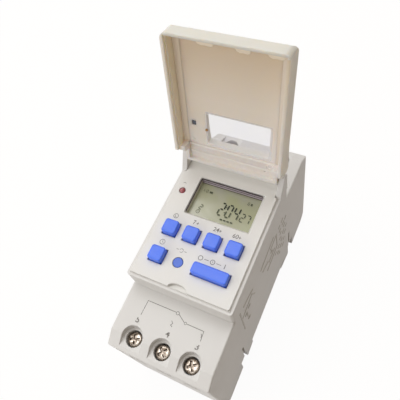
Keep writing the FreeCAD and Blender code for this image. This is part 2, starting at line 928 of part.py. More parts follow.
def make_lcd_frame():
    left, right, low, high = glass_edges()
    top = plate_bottom - glass_gap
    shelf = top - glass_thickness
    play = frame_play
    wall = frame_wall + frame_play
    body = box(left - wall, right + wall, low - wall, high + wall, board_top, top)
    pocket = box(left - play, right + play, low - play, high + play, shelf, top + 1)
    inside = box(left + frame_ledge, right - frame_ledge, low + play, high - play, board_top - 1, top)
    return body.cut([pocket, inside])


def make_lcd_contact_strips():
    """Two rubber strips that press the cell's edges to the board."""
    left, right, low, high = glass_edges()
    shelf = plate_bottom - glass_gap - glass_thickness
    x0 = left + frame_ledge + strip_gap
    x1 = right - frame_ledge - strip_gap
    lower = box(x0, x1, low + strip_gap, low + strip_gap + strip_width, board_top, shelf)
    upper = box(x0, x1, high - strip_gap - strip_width, high - strip_gap, board_top, shelf)
    return Part.makeCompound([lower, upper])


def make_display_board():
    board = box(-board_side, board_side, -display_board_half, display_board_half, board_bottom, board_top)
    holes = [square_post(peg_neck_half + peg_play, x, y, board_bottom - 1, board_top + 1)
             for x, y in peg_places()]
    return board.cut(holes)


def make_controller_chip():
    """A flat package, its underside bevelled like a moulded one."""
    half = chip_size / 2
    body = square_post(half, chip_across, chip_along, board_bottom - chip_height, board_bottom)
    rim = [edge for edge in body.Edges if abs(edge.CenterOfMass.z - board_bottom + chip_height) < 0.001]
    return body.makeChamfer(chip_edge, rim)


def make_clock_crystal():
    left = chip_across + chip_size / 2 + crystal_gap
    return box(left, left + crystal_width, chip_along - crystal_length / 2,
               chip_along + crystal_length / 2, board_bottom - crystal_height, board_bottom)


def make_backup_cell():
    top = board_bottom - cell_drop
    bottom = top - cell_thickness
    can = post(cell_radius, cell_across, cell_along, bottom, top)
    rim = [edge for edge in can.Edges if abs(edge.CenterOfMass.z - bottom) < 0.001]
    return can.makeChamfer(cell_edge, rim)


def make_cell_tabs():
    """Two strips that hold the cell to the board: one above it, one folded round it from below."""
    half = tab_width / 2
    x, y = cell_across, cell_along
    cell_top = board_bottom - cell_drop
    cell_bottom = cell_top - cell_thickness
    upper = box(x - half, x + half, y - half, y + half, cell_top, board_bottom)
    leg_x = x + cell_radius + tab_gap
    leg_end = leg_x + tab_thickness
    fold_z = cell_bottom - tab_thickness
    under = box(x - half, leg_end, y - half, y + half, fold_z, cell_bottom)
    leg = box(leg_x, leg_end, y - half, y + half, fold_z, board_bottom)
    return Part.makeCompound([upper, fuse([under, leg])])


def pin_places():
    first = pins_along - pin_pitch * (pin_count - 1) / 2
    return [first + pin_pitch * i for i in range(pin_count)]


def make_link_pins():
    half = pin_size / 2
    return Part.makeCompound([square_post(half, pins_across, y, power_top, board_bottom) for y in pin_places()])


def make_pin_headers():
    half = header_width / 2
    hole_half = pin_size / 2 + pin_play
    reach = pin_pitch * pin_count / 2
    headers = []
    for z0 in (power_top, board_bottom - header_height):
        z1 = z0 + header_height
        body = box(pins_across - half, pins_across + half, pins_along - reach, pins_along + reach, z0, z1)
        holes = [square_post(hole_half, pins_across, y, z0 - 1, z1 + 1) for y in pin_places()]
        headers.append(body.cut(holes))
    return Part.makeCompound(headers)


def make_power_board():
    end = inner_end - power_board_end_gap
    board = box(-board_side, board_side, -end, end, power_board_height, power_top)
    holes = [square_post(cover_pin_half + cover_pin_play, side * cover_post_across, near * cover_post_along,
                         power_board_height - 1, power_top + 1)
             for side in SIDES for near in SIDES]
    return board.cut(holes)


def housing(x, y, width, length, height, bevel):
    """A component housing on the power board, bevelled round its top."""
    block = box(x - width / 2, x + width / 2, y - length / 2, y + length / 2, power_top, power_top + height)
    rim = [edge for edge in block.Edges if abs(edge.CenterOfMass.z - power_top - height) < 0.001]
    return block.makeChamfer(bevel, rim)


def make_relay():
    x = relay_side_gap + relay_width / 2 - board_side
    return housing(x, relay_along, relay_width, relay_length, relay_height, relay_edge)


def make_film_capacitor():
    x = board_side - capacitor_side_gap - capacitor_width / 2
    return housing(x, capacitor_along, capacitor_width, capacitor_length, capacitor_height, capacitor_edge)


def make_bridge_rectifier():
    return housing(rectifier_across, rectifier_along, rectifier_width, rectifier_length,
                   rectifier_height, rectifier_edge)


def make_electrolytic_capacitor():
    can = post(can_radius, can_across, can_along, power_top, power_top + can_height)
    rim = [edge for edge in can.Edges if abs(edge.CenterOfMass.z - power_top - can_height) < 0.001]
    return can.makeChamfer(can_edge, rim)


def make_varistor():
    """A coated disc standing on its two leads."""
    face_x = varistor_across - varistor_thickness / 2
    centre_z = power_top + varistor_radius + varistor_lift
    disc = bar(varistor_radius, face_x, face_x + varistor_thickness, varistor_along, centre_z)
    leads = [square_post(lead_half, varistor_across, varistor_along + side * lead_shift, power_top, centre_z)
             for side in SIDES]
    return fuse([disc] + leads)


def lid_shell():
    """The lid's outside, closed: a tray with a low hump that rolls over the hinge."""
    rim = ledge_z + lid_rim_gap
    front = -lid_front
    end_top = hinge_y - lid_end_back
    wide = along_x([
        (front, rim), (front, roof_z, lid_front_radius), (lid_hump_start, roof_z, lid_hump_hollow),
        (lid_hump_end, hump_z, lid_hump_round), (end_top, hump_z, lid_end_round),
        (end_top - lid_end_slope, rim + lid_end_rise), (end_top - lid_end_cut, rim),
    ], -half_width, half_width)
    plan = [
        (-half_width, front, lid_corner_radius), (half_width, front, lid_corner_radius),
        (half_width, end_top + 2), (-half_width, end_top + 2),
    ]
    wide = wide.common(along_z(plan, rim - 1, hump_z + 1))
    lower = hinge_z - lid_rear_edge
    start_z = roof_z + lid_tail_lap
    inner_y = half_nose - lid_rear_wall
    behind = math.sqrt(0.5) * hinge_round
    narrow_edges = [
        ((lid_tail_start, lower), None, (lid_tail_start, start_z)),
        ((lid_tail_start, start_z), None, (lid_hump_end, hump_z)),
        ((lid_hump_end, hump_z), None, (hinge_y, hump_z)),
        ((hinge_y, hump_z), (hinge_y + behind, hinge_z + behind), (half_nose, hinge_z)),
        ((half_nose, hinge_z), None, (half_nose, lower)),
        ((half_nose, lower), None, (lid_tail_start, lower)),
    ]
    edges = []
    for start, middle, end in narrow_edges:
        first = FreeCAD.Vector(-narrow_side, start[0], start[1])
        last = FreeCAD.Vector(-narrow_side, end[0], end[1])
        if middle is None:
            edges.append(Part.makeLine(first, last))
        else:
            through = FreeCAD.Vector(-narrow_side, middle[0], middle[1])
            edges.append(Part.Arc(first, through, last).toShape())
    narrow = Part.Face(Part.Wire(edges)).extrude(FreeCAD.Vector(2 * narrow_side, 0, 0))
    wide_end = end_top - lid_end_wall
    wide_inside = box(-lid_inner_side, lid_inner_side, lid_wall - lid_front, wide_end, rim - 1, ceiling_z)
    narrow_inner = narrow_side - lid_rear_wall
    narrow_inside = box(-narrow_inner, narrow_inner, lid_tail_inside, inner_y, rim - 1, ceiling_z)
    return fuse([wide, narrow]).cut([wide_inside, narrow_inside])


def make_lid_cover():
    rim = ledge_z + lid_rim_gap
    over = hump_z + 1
    side = rebate_side + lid_rebate_play
    rebate = box(-side, side, -rebate_end - lid_rebate_play, half_nose + 1, rim - 1, clear_z)
    plan = rounded_plan(opening_left, opening_right, opening_bottom, opening_top, opening_corner)
    opening = along_z(plan, rim, over)
    half_x = peephole_width / 2
    half_y = peephole_length / 2
    peephole = box(peephole_across - half_x, peephole_across + half_x,
                   peephole_along - half_y, peephole_along + half_y, rim, over)
    lid = lid_shell().cut([rebate, opening, peephole])
    pin_end = half_width - hinge_pin_end_gap
    pins = [bar(hinge_pin_radius, -pin_end, 1 - narrow_side, hinge_y, hinge_z),
            bar(hinge_pin_radius, narrow_side - 1, pin_end, hinge_y, hinge_z)]
    nibs = [latch_nib(nib_inner, nib_outer), latch_nib(-nib_outer, -nib_inner)]
    return opened(fuse([lid] + pins + nibs))


def latch_nib(x0, x1):
    """A low ridge inside the lid's front wall, which snaps under the plate's front edge."""
    root = lid_wall - lid_front
    tip = root + nib_proud
    back = root - nib_proud
    low = clear_z + lid_rim_gap
    high = low + nib_height
    return along_x([
        (back, low), (root, low), (tip, low + nib_slope), (tip, high - nib_slope), (root, high), (back, high),
    ], x0, x1)


def make_lid_window():
    """The clear insert: a flange behind the lid's opening and a plug that fills it."""
    left = opening_left - window_flange_left
    right = opening_right + window_flange_right
    low = opening_bottom - window_flange_low
    high = opening_top + window_flange_side
    corner = opening_corner - window_play
    flange = along_z(rounded_plan(left, right, low, high, corner), ceiling_z - window_flange, ceiling_z)
    play = window_play
    plan = rounded_plan(opening_left + play, opening_right - play,
                        opening_bottom + play, opening_top - play, corner)
    plug = along_z(plan, ceiling_z - window_flange / 2, roof_z - window_sink)
    return opened(fuse([flange, plug]))


def opened(shape):
    """Swing a piece of the lid from closed to open."""
    shape = shape.copy()
    shape.rotate(FreeCAD.Vector(0, hinge_y, hinge_z), FreeCAD.Vector(1, 0, 0), -lid_open_angle)
    return shape


def build_pieces():
    """Every piece by its name."""
    pieces = {
        "main_case": make_main_case(),
        "rear_cover": make_rear_cover(),
        "rail_clip": make_rail_clip(),
        "clip_spring": make_clip_spring(),
        "terminal_lugs": make_terminal_lugs(),
        "face_plate": make_face_plate(),
        "button_manual": capped_key(manual_across, lower_row, manual_length, manual_width),
        "button_reset": make_reset_key(),
        "switch_bodies": make_switch_bodies(),
        "led_indicator": make_led_indicator(),
        "lcd_glass": make_lcd_glass(),
        "lcd_frame": make_lcd_frame(),
        "lcd_contact_strips": make_lcd_contact_strips(),
        "display_board": make_display_board(),
        "controller_chip": make_controller_chip(),
        "clock_crystal": make_clock_crystal(),
        "backup_cell": make_backup_cell(),
        "cell_tabs": make_cell_tabs(),
        "link_pins": make_link_pins(),
        "pin_headers": make_pin_headers(),
        "power_board": make_power_board(),
        "relay": make_relay(),
        "film_capacitor": make_film_capacitor(),
        "bridge_rectifier": make_bridge_rectifier(),
        "electrolytic_capacitor": make_electrolytic_capacitor(),
        "varistor": make_varistor(),
        "lid_cover": make_lid_cover(),
        "lid_window": make_lid_window(),
    }
    for name, x, y in square_key_places():
        pieces["button_" + name] = capped_key(x, y, key_size, key_size)
    for name, x, y in key_places():
        pieces["plunger_" + name] = make_plunger(x, y)
    for number, (x, end) in enumerate(TERMINALS, start=1):
        pieces["screw_" + str(number)] = make_screw(x, end)
        pieces["cage_" + str(number)] = make_cage(x, end)
    return pieces


os.makedirs("parts", exist_ok=True)
for piece_name, piece in build_pieces().items():
    piece.exportStep("parts/" + piece_name + ".step")
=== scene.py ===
# Programmable timer switch for a 35 mm rail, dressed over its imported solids.
# Sizes are in millimetres, and each piece is turned into metres as it is made.
import math
import bmesh
import bpy
from mathutils import Matrix, Vector


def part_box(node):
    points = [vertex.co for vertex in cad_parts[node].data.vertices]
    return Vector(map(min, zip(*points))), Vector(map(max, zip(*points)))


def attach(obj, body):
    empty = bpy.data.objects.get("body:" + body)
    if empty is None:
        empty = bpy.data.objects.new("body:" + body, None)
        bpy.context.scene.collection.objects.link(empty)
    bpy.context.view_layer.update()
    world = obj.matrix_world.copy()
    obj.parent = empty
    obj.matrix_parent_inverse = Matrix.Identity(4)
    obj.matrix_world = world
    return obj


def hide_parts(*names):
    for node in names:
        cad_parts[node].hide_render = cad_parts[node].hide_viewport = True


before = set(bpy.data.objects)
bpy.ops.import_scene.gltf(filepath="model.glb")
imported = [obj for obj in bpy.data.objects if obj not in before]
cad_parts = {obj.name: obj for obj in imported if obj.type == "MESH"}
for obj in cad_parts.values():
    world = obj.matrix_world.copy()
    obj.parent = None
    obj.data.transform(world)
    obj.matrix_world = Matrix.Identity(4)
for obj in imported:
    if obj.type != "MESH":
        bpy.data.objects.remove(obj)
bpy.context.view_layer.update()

# Case mouldings: body and rear cover.
# Light grey ABS, injection moulded in spark-eroded tools, so the faces are matt
# with a very fine grain and the handled edges have gone a little paler and smoother.


def linear(shade):
    """An sRGB hex colour as linear light."""
    parts = [int(shade[i:i + 2], 16) / 255 for i in (1, 3, 5)]
    return [c / 12.92 if c <= 0.04045 else ((c + 0.055) / 1.055) ** 2.4 for c in parts] + [1.0]


def add(tree, kind, values={}, links={}):
    """Adds a node with its settings and links."""
    node = tree.nodes.new(kind)
    for key, value in values.items():
        if isinstance(key, str) and hasattr(node, key):
            setattr(node, key, value)
        else:
            node.inputs[key].default_value = value
    for key, source in links.items():
        tree.links.new(source, node.inputs[key])
    return node


def new_finish(name, values):
    """An empty finish: its tree, its shader and the place on the part in metres."""
    finish = bpy.data.materials.new(name)
    finish.use_nodes = True
    tree = finish.node_tree
    tree.nodes.clear()
    shader = add(tree, "ShaderNodeBsdfPrincipled", values)
    add(tree, "ShaderNodeOutputMaterial", {}, {"Surface": shader.outputs["BSDF"]})
    place = add(tree, "ShaderNodeTexCoord").outputs["Object"]
    return finish, tree, shader, place


def join(tree, shader, colour, gloss, bump=None):
    """Leads a finish's colour, roughness and fine relief into its shader."""
    tree.links.new(colour, shader.inputs["Base Color"])
    tree.links.new(gloss, shader.inputs["Roughness"])
    if bump:
        tree.links.new(bump.outputs["Normal"], shader.inputs["Normal"])


def moulded_abs(name, shade, deep, rubbed, rough, grain, edge_radius):
    """Matt moulded ABS: a slow drift in tone, fine grain, paler smoother edges."""
    finish, tree, shader, place = new_finish(name, {"IOR": 1.53})
    # The tone drifts over some 18 mm, as the melt flowed, and wear comes in patches of 3 mm.
    drift = add(tree, "ShaderNodeTexNoise", {"Scale": 55.0, "Detail": 3.0}, {"Vector": place})
    tone = add(tree, "ShaderNodeMix", {"data_type": "RGBA", 6: linear(shade), 7: linear(deep)},
               {0: drift.outputs["Fac"]})
    rounded = add(tree, "ShaderNodeBevel", {"samples": 4, "Radius": edge_radius})
    flat = add(tree, "ShaderNodeNewGeometry")
    turn = add(tree, "ShaderNodeVectorMath", {"operation": "DOT_PRODUCT"},
               {0: rounded.outputs["Normal"], 1: flat.outputs["Normal"]})
    edge = add(tree, "ShaderNodeMapRange", {"From Min": 0.995, "From Max": 0.85}, {"Value": turn.outputs["Value"]})
    patch = add(tree, "ShaderNodeTexNoise", {"Scale": 320.0, "Detail": 4.0}, {"Vector": place})
    wear = add(tree, "ShaderNodeMath", {"operation": "MULTIPLY"},
               {0: edge.outputs["Result"], 1: patch.outputs["Fac"]})
    colour = add(tree, "ShaderNodeMix", {"data_type": "RGBA", 7: linear(rubbed)},
                 {0: wear.outputs[0], 6: tone.outputs[2]})
    gloss = add(tree, "ShaderNodeMapRange", {"To Min": rough + 0.06, "To Max": rough - 0.08},
                {"Value": patch.outputs["Fac"]})
    smooth = add(tree, "ShaderNodeMath", {"operation": "MULTIPLY_ADD", 1: -0.12},
                 {0: wear.outputs[0], 2: gloss.outputs["Result"]})
    # The tool's spark grain is about 0.1 mm and would not show, so it is drawn at 0.6 mm.
    sparks = add(tree, "ShaderNodeTexNoise", {"Scale": 1700.0, "Detail": 2.0}, {"Vector": place})
    bump = add(tree, "ShaderNodeBump", {"Strength": grain, "Distance": 0.00004},
               {"Height": sparks.outputs["Fac"], "Normal": rounded.outputs["Normal"]})
    join(tree, shader, colour.outputs[2], smooth.outputs[0], bump)
    return finish


def dress(finish, *nodes):
    """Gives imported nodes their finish."""
    for node in nodes:
        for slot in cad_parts[node].material_slots:
            slot.material = finish


dress(moulded_abs("case_abs", "#E5E4E2", "#DEDCD9", "#EFEEEC", 0.46, 0.35, 0.0003), "main_case", "rear_cover")


# Moulded relief on the right side of the case: plain wiring lines and rows of dashes.
# It stands a tenth of a millimetre proud of the wall, in the case's own ABS, and its colour is
# painted a little darker than the case, as painted shade along the lines.
into_scene = bpy.context.scene.collection.objects.link


def mesh_piece(name, points, faces, finish, body, slot, sharp=35):
    """A finished mesh from points in millimetres, riding on its body."""
    mesh = bpy.data.meshes.new(name)
    mesh.from_pydata([Vector(p) * 0.001 for p in points], [], faces)
    mesh.validate()
    skin = bmesh.new()
    skin.from_mesh(mesh)
    bmesh.ops.recalc_face_normals(skin, faces=skin.faces)
    if skin.calc_volume(signed=True) < 0:
        bmesh.ops.reverse_faces(skin, faces=skin.faces)
    skin.to_mesh(mesh)
    skin.free()
    mesh.materials.append(finish)
    mesh.shade_smooth()
    mesh.set_sharp_from_angle(angle=math.radians(sharp))
    piece = bpy.data.objects.new(name, mesh)
    into_scene(piece)
    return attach(piece, body) or piece


def ribbon(path, width, height, place, points, faces):
    """A raised line along a path of (u, v), with mitred corners, laid by place(u, v, rise)."""
    closed = path[0] == path[-1]
    line = [Vector(p) for p in (path[:-1] if closed else path)]
    count = len(line)
    sides = []
    for i, spot in enumerate(line):
        before = line[i - 1] if i or closed else None
        after = line[(i + 1) % count] if i + 1 < count or closed else None
        ways = [(b - a).normalized() for a, b in ((before, spot), (spot, after)) if a is not None and b is not None]
        way = sum(ways, Vector((0, 0))).normalized()
        reach = width / 2 / max(0.3, way.dot(ways[0]))
        across = Vector((-way.y, way.x)) * reach
        sides.append((spot + across, spot - across))
    start = len(points)
    for left, right in sides:
        points += [place(left.x, left.y, 0), place(left.x, left.y, height),
                   place(right.x, right.y, height), place(right.x, right.y, 0)]
    for i in range(count if closed else count - 1):
        a = start + 4 * i
        b = start + 4 * ((i + 1) % count)
        faces += [(a, b, b + 1, a + 1), (a + 1, b + 1, b + 2, a + 2), (a + 2, b + 2, b + 3, a + 3)]
    if not closed:
        end = start + 4 * (count - 1)
        faces += [(start, start + 1, start + 2, start + 3), (end + 3, end + 2, end + 1, end)]


def raised(lines, height, place):
    """Points and faces of raised lines, from (width, path) pairs."""
    points, faces = [], []
    for width, path in lines:
        ribbon(path, width, height, place, points, faces)
    return points, faces


def round_path(across, along, radius):
    """A circle as a closed path of twenty short sides."""
    turns = [math.pi * i / 10 for i in range(20)] + [0]
    return [(across + radius * math.cos(t), along + radius * math.sin(t)) for t in turns]


def on_right_side(u, v, rise):
    """A point on the right wall, from just under its skin."""
    return (17.96 + rise, u, v)


lines = [(0.62, path) for path in (
    [(-19.6, 47.5), (-19.5, 28.8)], [(-2.9, 42.7), (9.4, 44.7)], [(-19.5, 40.0), (-11.0, 42.0), (-9.0, 37.6)],
    [(2.0, 31.0), (12.0, 32.2), (12.0, 41.5), (6.0, 41.0)], [(4.0, 34.5), (9.6, 35.2)], [(-16.0, 33.0), (-16.0, 36.0)],
    [(-9.7, 43.6), (-13.0, 45.4), (-17.0, 46.4)], [(-1.5, 38.6), (3.4, 36.8)],
)]
for across, along in ((-13.9, 38.2), (-16.6, 37.1), (-15.4, 30.0), (7.0, 38.0)):
    lines.append((0.5, round_path(across, along, 0.7)))
for height, starts in (
    (42.0, (14.0, 16.6)), (38.6, (14.4, 17.4, 20.0)), (35.2, (15.0, 18.4)), (31.8, (14.6, 17.4, 20.4)),
    (28.4, (9.6, 12.4, 15.8, 19.0)), (25.0, (11.6, 14.4, 18.0)), (21.6, (13.0, 16.6)),
):
    for number, start in enumerate(starts):
        lines.append((0.55, [(start, height), (start + 1.5 + 0.5 * (number % 2), height + 0.2)]))
shade_painted_relief_abs = moulded_abs("shade_painted_relief_abs", "#D3CFC8", "#C8C3BB", "#DEDAD3", 0.5, 0.35, 0.0002)
mesh_piece("side_relief", *raised(lines, 0.16, on_right_side), shade_painted_relief_abs, "housing", "case_abs")


# Face plate.
# The inset front panel is moulded in the same ABS and sits in its rebate. It is drawn paler than
# the case, partly its own lighter colour and partly painted light that makes up for the open lid's
# shade. A step along its sides and front closes the seam to the case.
plate_abs = moulded_abs("plate_abs", "#EFEEEB", "#E9E8E4", "#F8F7F4", 0.46, 0.35, 0.0003)
dress(plate_abs, "face_plate")


def skinned(*shells):
    """Points and faces of closed skins, each laid over its own rings of the same count."""
    points, faces = [], []
    for rings in shells:
        start, count = len(points), len(rings[0])
        points += [spot for ring in rings for spot in ring]
        for base in range(start, len(points) - count, count):
            faces += [(base + i, base + (i + 1) % count, base + count + (i + 1) % count, base + count + i)
                      for i in range(count)]
        faces += [tuple(reversed(range(start, start + count))), tuple(range(len(points) - count, len(points)))]
    return points, faces


def oblong(left, near, right, far):
    """The four corners of a rectangle, seen from above."""
    return [(left, near), (right, near), (right, far), (left, far)]


def block(left, near, right, far, low, high):
    """The lower and the upper ring of an upright block."""
    return [[(x, y, z) for x, y in oblong(left, near, right, far)] for z in (low, high)]


STEP_FOOT, STEP_TOP = 56.6, 57.6
steps = [block(*side, STEP_FOOT, STEP_TOP) for side in (
    (16.78, -22.42, 17.02, 17.9), (-17.02, -22.42, -16.78, 17.9), (-16.78, -22.42, 16.78, -22.28))]
mesh_piece("plate_step", *skinned(*steps), plate_abs, "housing", "case_abs", 20)


# Rail clip and its spring, at the back.
# The clip is grey nylon, moulded and slightly waxy; the spring is a strip of spring
# steel folded to and fro, with the faint blue-brown tint of tempering.
def toned(tree, shader, pattern, shades, rough, bump):
    """Lets colour and roughness drift between two values each, where one pattern has them."""
    tone = add(tree, "ShaderNodeMix", {"data_type": "RGBA", 6: linear(shades[0]), 7: linear(shades[1])}, {0: pattern})
    gloss = add(tree, "ShaderNodeMapRange", {"To Min": rough[0], "To Max": rough[1]}, {"Value": pattern})
    join(tree, shader, tone.outputs[2], gloss.outputs["Result"], bump)


def plain_plastic(name, shade, deep, rough, spacing, strength, ior=1.5):
    """A moulded plastic: tone drift, roughness drift and a fine skin of the given spacing in mm."""
    finish, tree, shader, place = new_finish(name, {"IOR": ior})
    # The tone drifts over some 7 mm.
    drift = add(tree, "ShaderNodeTexNoise", {"Scale": 140.0, "Detail": 3.0}, {"Vector": place})
    skin = add(tree, "ShaderNodeTexNoise", {"Scale": 1000.0 / spacing, "Detail": 2.0}, {"Vector": place})
    rounded = add(tree, "ShaderNodeBevel", {"samples": 4, "Radius": 0.0002})
    bump = add(tree, "ShaderNodeBump", {"Strength": strength, "Distance": 0.00004},
               {"Height": skin.outputs["Fac"], "Normal": rounded.outputs["Normal"]})
    toned(tree, shader, drift.outputs["Fac"], (shade, deep), (rough - 0.06, rough + 0.08), bump)
    return finish


def plated_metal(name, shade, deep, rough, stretch, strength):
    """A plated or rolled metal: tone drift, and fine lines, with their count to the metre on each axis."""
    finish, tree, shader, place = new_finish(name, {"Metallic": 1.0})
    # Clouds of 4 mm, as a plating bath leaves them.
    drift = add(tree, "ShaderNodeTexNoise", {"Scale": 260.0, "Detail": 4.0}, {"Vector": place})
    drawn = add(tree, "ShaderNodeMapping", {"Scale": stretch}, {"Vector": place})
    lines = add(tree, "ShaderNodeTexNoise", {"Scale": 1.0, "Detail": 3.0}, {"Vector": drawn.outputs["Vector"]})
    bump = add(tree, "ShaderNodeBump", {"Strength": strength, "Distance": 0.00002}, {"Height": lines.outputs["Fac"]})
    toned(tree, shader, drift.outputs["Fac"], (shade, deep), (rough - 0.07, rough + 0.1), bump)
    return finish


dress(plain_plastic("clip_nylon", "#4A4B4C", "#3E3F41", 0.42, 0.8, 0.3, 1.53), "rail_clip")
dress(plated_metal("spring_steel", "#8E8A84", "#7A7166", 0.32, (400, 2600, 400), 0.4), "clip_spring")


# Power board with its relay, capacitors, rectifier and surge disc.
# The board is green glass-epoxy with copper tracks showing through the mask; each
# component has its maker's usual jacket: blue or black epoxy, yellow case, black sleeve.
def circuit_board(name):
    """Green mask over glass weave, with paler copper tracks in right-angled runs."""
    finish, tree, shader, place = new_finish(name, {"IOR": 1.5, "Coat Weight": 0.3, "Coat Roughness": 0.2})
    # Tracks 0.33 mm wide run round fields of 2.4 by 1.2 mm.
    runs = add(tree, "ShaderNodeTexBrick", {"Scale": 210.0, "Mortar Size": 0.035, "Color1": linear("#1E6B3C"),
                                            "Color2": linear("#22733F"), "Mortar": linear("#5FA25E")},
               {"Vector": place})
    # The glass weave's knots are 0.5 mm; they are drawn at 1.1 mm, or they would not show.
    weave = add(tree, "ShaderNodeTexNoise", {"Scale": 900.0, "Detail": 2.0}, {"Vector": place})
    gloss = add(tree, "ShaderNodeMapRange", {"To Min": 0.3, "To Max": 0.45}, {"Value": weave.outputs["Fac"]})
    bump = add(tree, "ShaderNodeBump", {"Strength": 0.3, "Distance": 0.00003}, {"Height": runs.outputs["Fac"]})
    join(tree, shader, runs.outputs["Color"], gloss.outputs["Result"], bump)
    return finish


board_laminate = circuit_board("board_laminate")
dress(board_laminate, "power_board")
dress(plain_plastic("blue_epoxy", "#2E5FA8", "#28549A", 0.38, 1.2, 0.3), "relay", "varistor")
dress(plain_plastic("yellow_film_case", "#D9B23A", "#CDA530", 0.34, 1.5, 0.2), "film_capacitor")
black_epoxy = plain_plastic("black_epoxy", "#262628", "#1E1E20", 0.5, 0.7, 0.5)
dress(black_epoxy, "bridge_rectifier")
dress(plain_plastic("black_sleeve", "#2A2B30", "#232429", 0.3, 2.0, 0.15), "electrolytic_capacitor")
black_plastic = plain_plastic("black_plastic", "#2B2B2C", "#222223", 0.45, 0.9, 0.3)
dress(black_plastic, "pin_headers")


# Terminals: bent busbars, clamp cages and cross-slot screws.
# Busbars are rolled brass, tinned; cages are folded steel, zinc plated; the screws
# are steel, cold headed and nickel plated, so their rims and slots take sharp lights.
def box_mm(node):
    """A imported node's middle across and along, its low and its high corner, in millimetres."""
    low, high = [corner * 1000 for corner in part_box(node)]
    return (low.x + high.x) / 2, (low.y + high.y) / 2, low, high


def turned(profile, across, along, count=48):
    """A closed skin turned about a post, from (radius, height) pairs."""
    turns = [2 * math.pi * i / count for i in range(count)]
    return skinned([[(across + radius * math.cos(t), along + radius * math.sin(t), height) for t in turns]
                    for radius, height in profile])


CROSS_DEPTH, CROSS_LENGTH, CROSS_WIDTH = 1.0, 3.6, 1.05


def cross_cutter(across, along, top, turn):
    """A cross-shaped punch that narrows as it goes down."""
    rings = []
    for height, share in ((top - CROSS_DEPTH, 0.62), (top + 0.4, 1.0)):
        half, arm = CROSS_WIDTH / 2 * share, CROSS_LENGTH / 2 * (0.5 + share / 2)
        ring = []
        for quarter in range(4):
            swing = turn + quarter * math.pi / 2
            for u, v in ((arm, -half), (arm, half), (half, half)):
                ring.append((across + u * math.cos(swing) - v * math.sin(swing),
                             along + u * math.sin(swing) + v * math.cos(swing), height))
        rings.append(ring)
    return skinned(rings)


def baked(thing):
    """The mesh of an object with its modifiers worked in."""
    bpy.context.view_layer.update()
    return bpy.data.meshes.new_from_object(thing.evaluated_get(bpy.context.evaluated_depsgraph_get()))


tinned_brass = plated_metal("tinned_brass", "#C9C2B0", "#B5AC96", 0.34, (300, 1800, 300), 0.3)
dress(tinned_brass, "terminal_lugs", "link_pins")
zinc_plate = plated_metal("zinc_plate", "#B9BCC0", "#A3A6A9", 0.36, (500, 1500, 900), 0.4)
dress(zinc_plate, "cage_1", "cage_2", "cage_3", "cage_4", "cage_5")


def tarnish_and_dark_reflection_nickel(name, bright, dull, rough):
    """Nickel plate with dark patches about 1 mm across, partly tarnish and partly painted dark reflections, with driver
    scuffs between.
    """
    finish, tree, shader, place = new_finish(name, {"Metallic": 1.0})
    patches = add(tree, "ShaderNodeTexNoise", {"Scale": 1000.0, "Detail": 3.0, "Distortion": 0.6}, {"Vector": place})
    tarnish_and_dark_reflection = add(tree, "ShaderNodeMapRange", {"From Min": 0.42, "From Max": 0.6}, {"Value": patches.outputs["Fac"]})
    # A driver's scuffs are a tenth of a millimetre; they are drawn at 0.45 mm, so that they show.
    scuffs = add(tree, "ShaderNodeTexNoise", {"Scale": 2200.0, "Detail": 4.0}, {"Vector": place})
    bump = add(tree, "ShaderNodeBump", {"Strength": 0.6, "Distance": 0.00005}, {"Height": scuffs.outputs["Fac"]})
    toned(tree, shader, tarnish_and_dark_reflection.outputs["Result"], (bright, dull), (rough, rough + 0.2), bump)
    return finish


nickel_plate = tarnish_and_dark_reflection_nickel("nickel_plate", "#CFC3B6", "#75685B", 0.22)
shade_painted_slot_nickel = tarnish_and_dark_reflection_nickel("shade_painted_slot_nickel", "#A3968A", "#6B5F53", 0.3)
SHANK_RADIUS, THREAD_PITCH, HEAD_HEIGHT = 1.5, 0.5, 2.2
# Each screw was left at its own turn, here in radians.
SCREW_TURNS = {1: 0.35, 2: 0.85, 3: 0.6, 4: 0.2, 5: 1.1}
for number, turn in SCREW_TURNS.items():
    across, along, low, high = box_mm("screw_%d" % number)
    top, head = high.z, (high.x - low.x) / 2
    under = top - HEAD_HEIGHT
    profile = [(0.7, low.z), (1.25, low.z + 0.3)]
    height = low.z + 0.4
    while height < under - THREAD_PITCH:
        profile += [(SHANK_RADIUS - 0.3, height), (SHANK_RADIUS, height + THREAD_PITCH / 2)]
        height += THREAD_PITCH
    profile += [(1.3, under - 0.05), (head - 0.25, under), (head, under + 0.25), (head, top - 0.75),
                (head - 0.1, top - 0.42), (head - 0.32, top - 0.18), (head - 0.7, top - 0.04), (head - 1.3, top)]
    screw = mesh_piece("terminal_screw_%d" % number, *turned(profile, across, along), nickel_plate,
                       "terminal_screw_%d" % number, "nickel_plated_steel", 40)
    points, faces = cross_cutter(across, along, top, turn)
    punch = bpy.data.objects.new("punch", bpy.data.meshes.new("punch"))
    punch.data.from_pydata([Vector(p) * 0.001 for p in points], [], faces)
    into_scene(punch)
    cut = screw.modifiers.new("cross", "BOOLEAN")
    cut.object = punch
    cut.operation = "DIFFERENCE"
    cut.solver = "EXACT"
    soften = screw.modifiers.new("soften", "BEVEL")
    soften.width = 0.07 * 0.001
    soften.segments = 2
    soften.limit_method = "ANGLE"
    soften.angle_limit = math.radians(50)
    headed = baked(screw)
    screw.modifiers.clear()
    screw.data = headed
    headed.shade_smooth()
    headed.set_sharp_from_angle(angle=math.radians(40))
    bpy.data.objects.remove(punch)
    # The walls and floor of the cross are a little rougher than the head, and darker as painted shade in the recess.
    headed.materials.append(shade_painted_slot_nickel)
    for face in headed.polygons:
        middle = face.center * 1000
        inward = math.hypot(middle.x - across, middle.y - along) < CROSS_LENGTH / 2 - 0.08
        face.material_index = 1 if inward and top - CROSS_DEPTH - 0.3 < middle.z < top - 0.1 else 0
    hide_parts("screw_%d" % number)


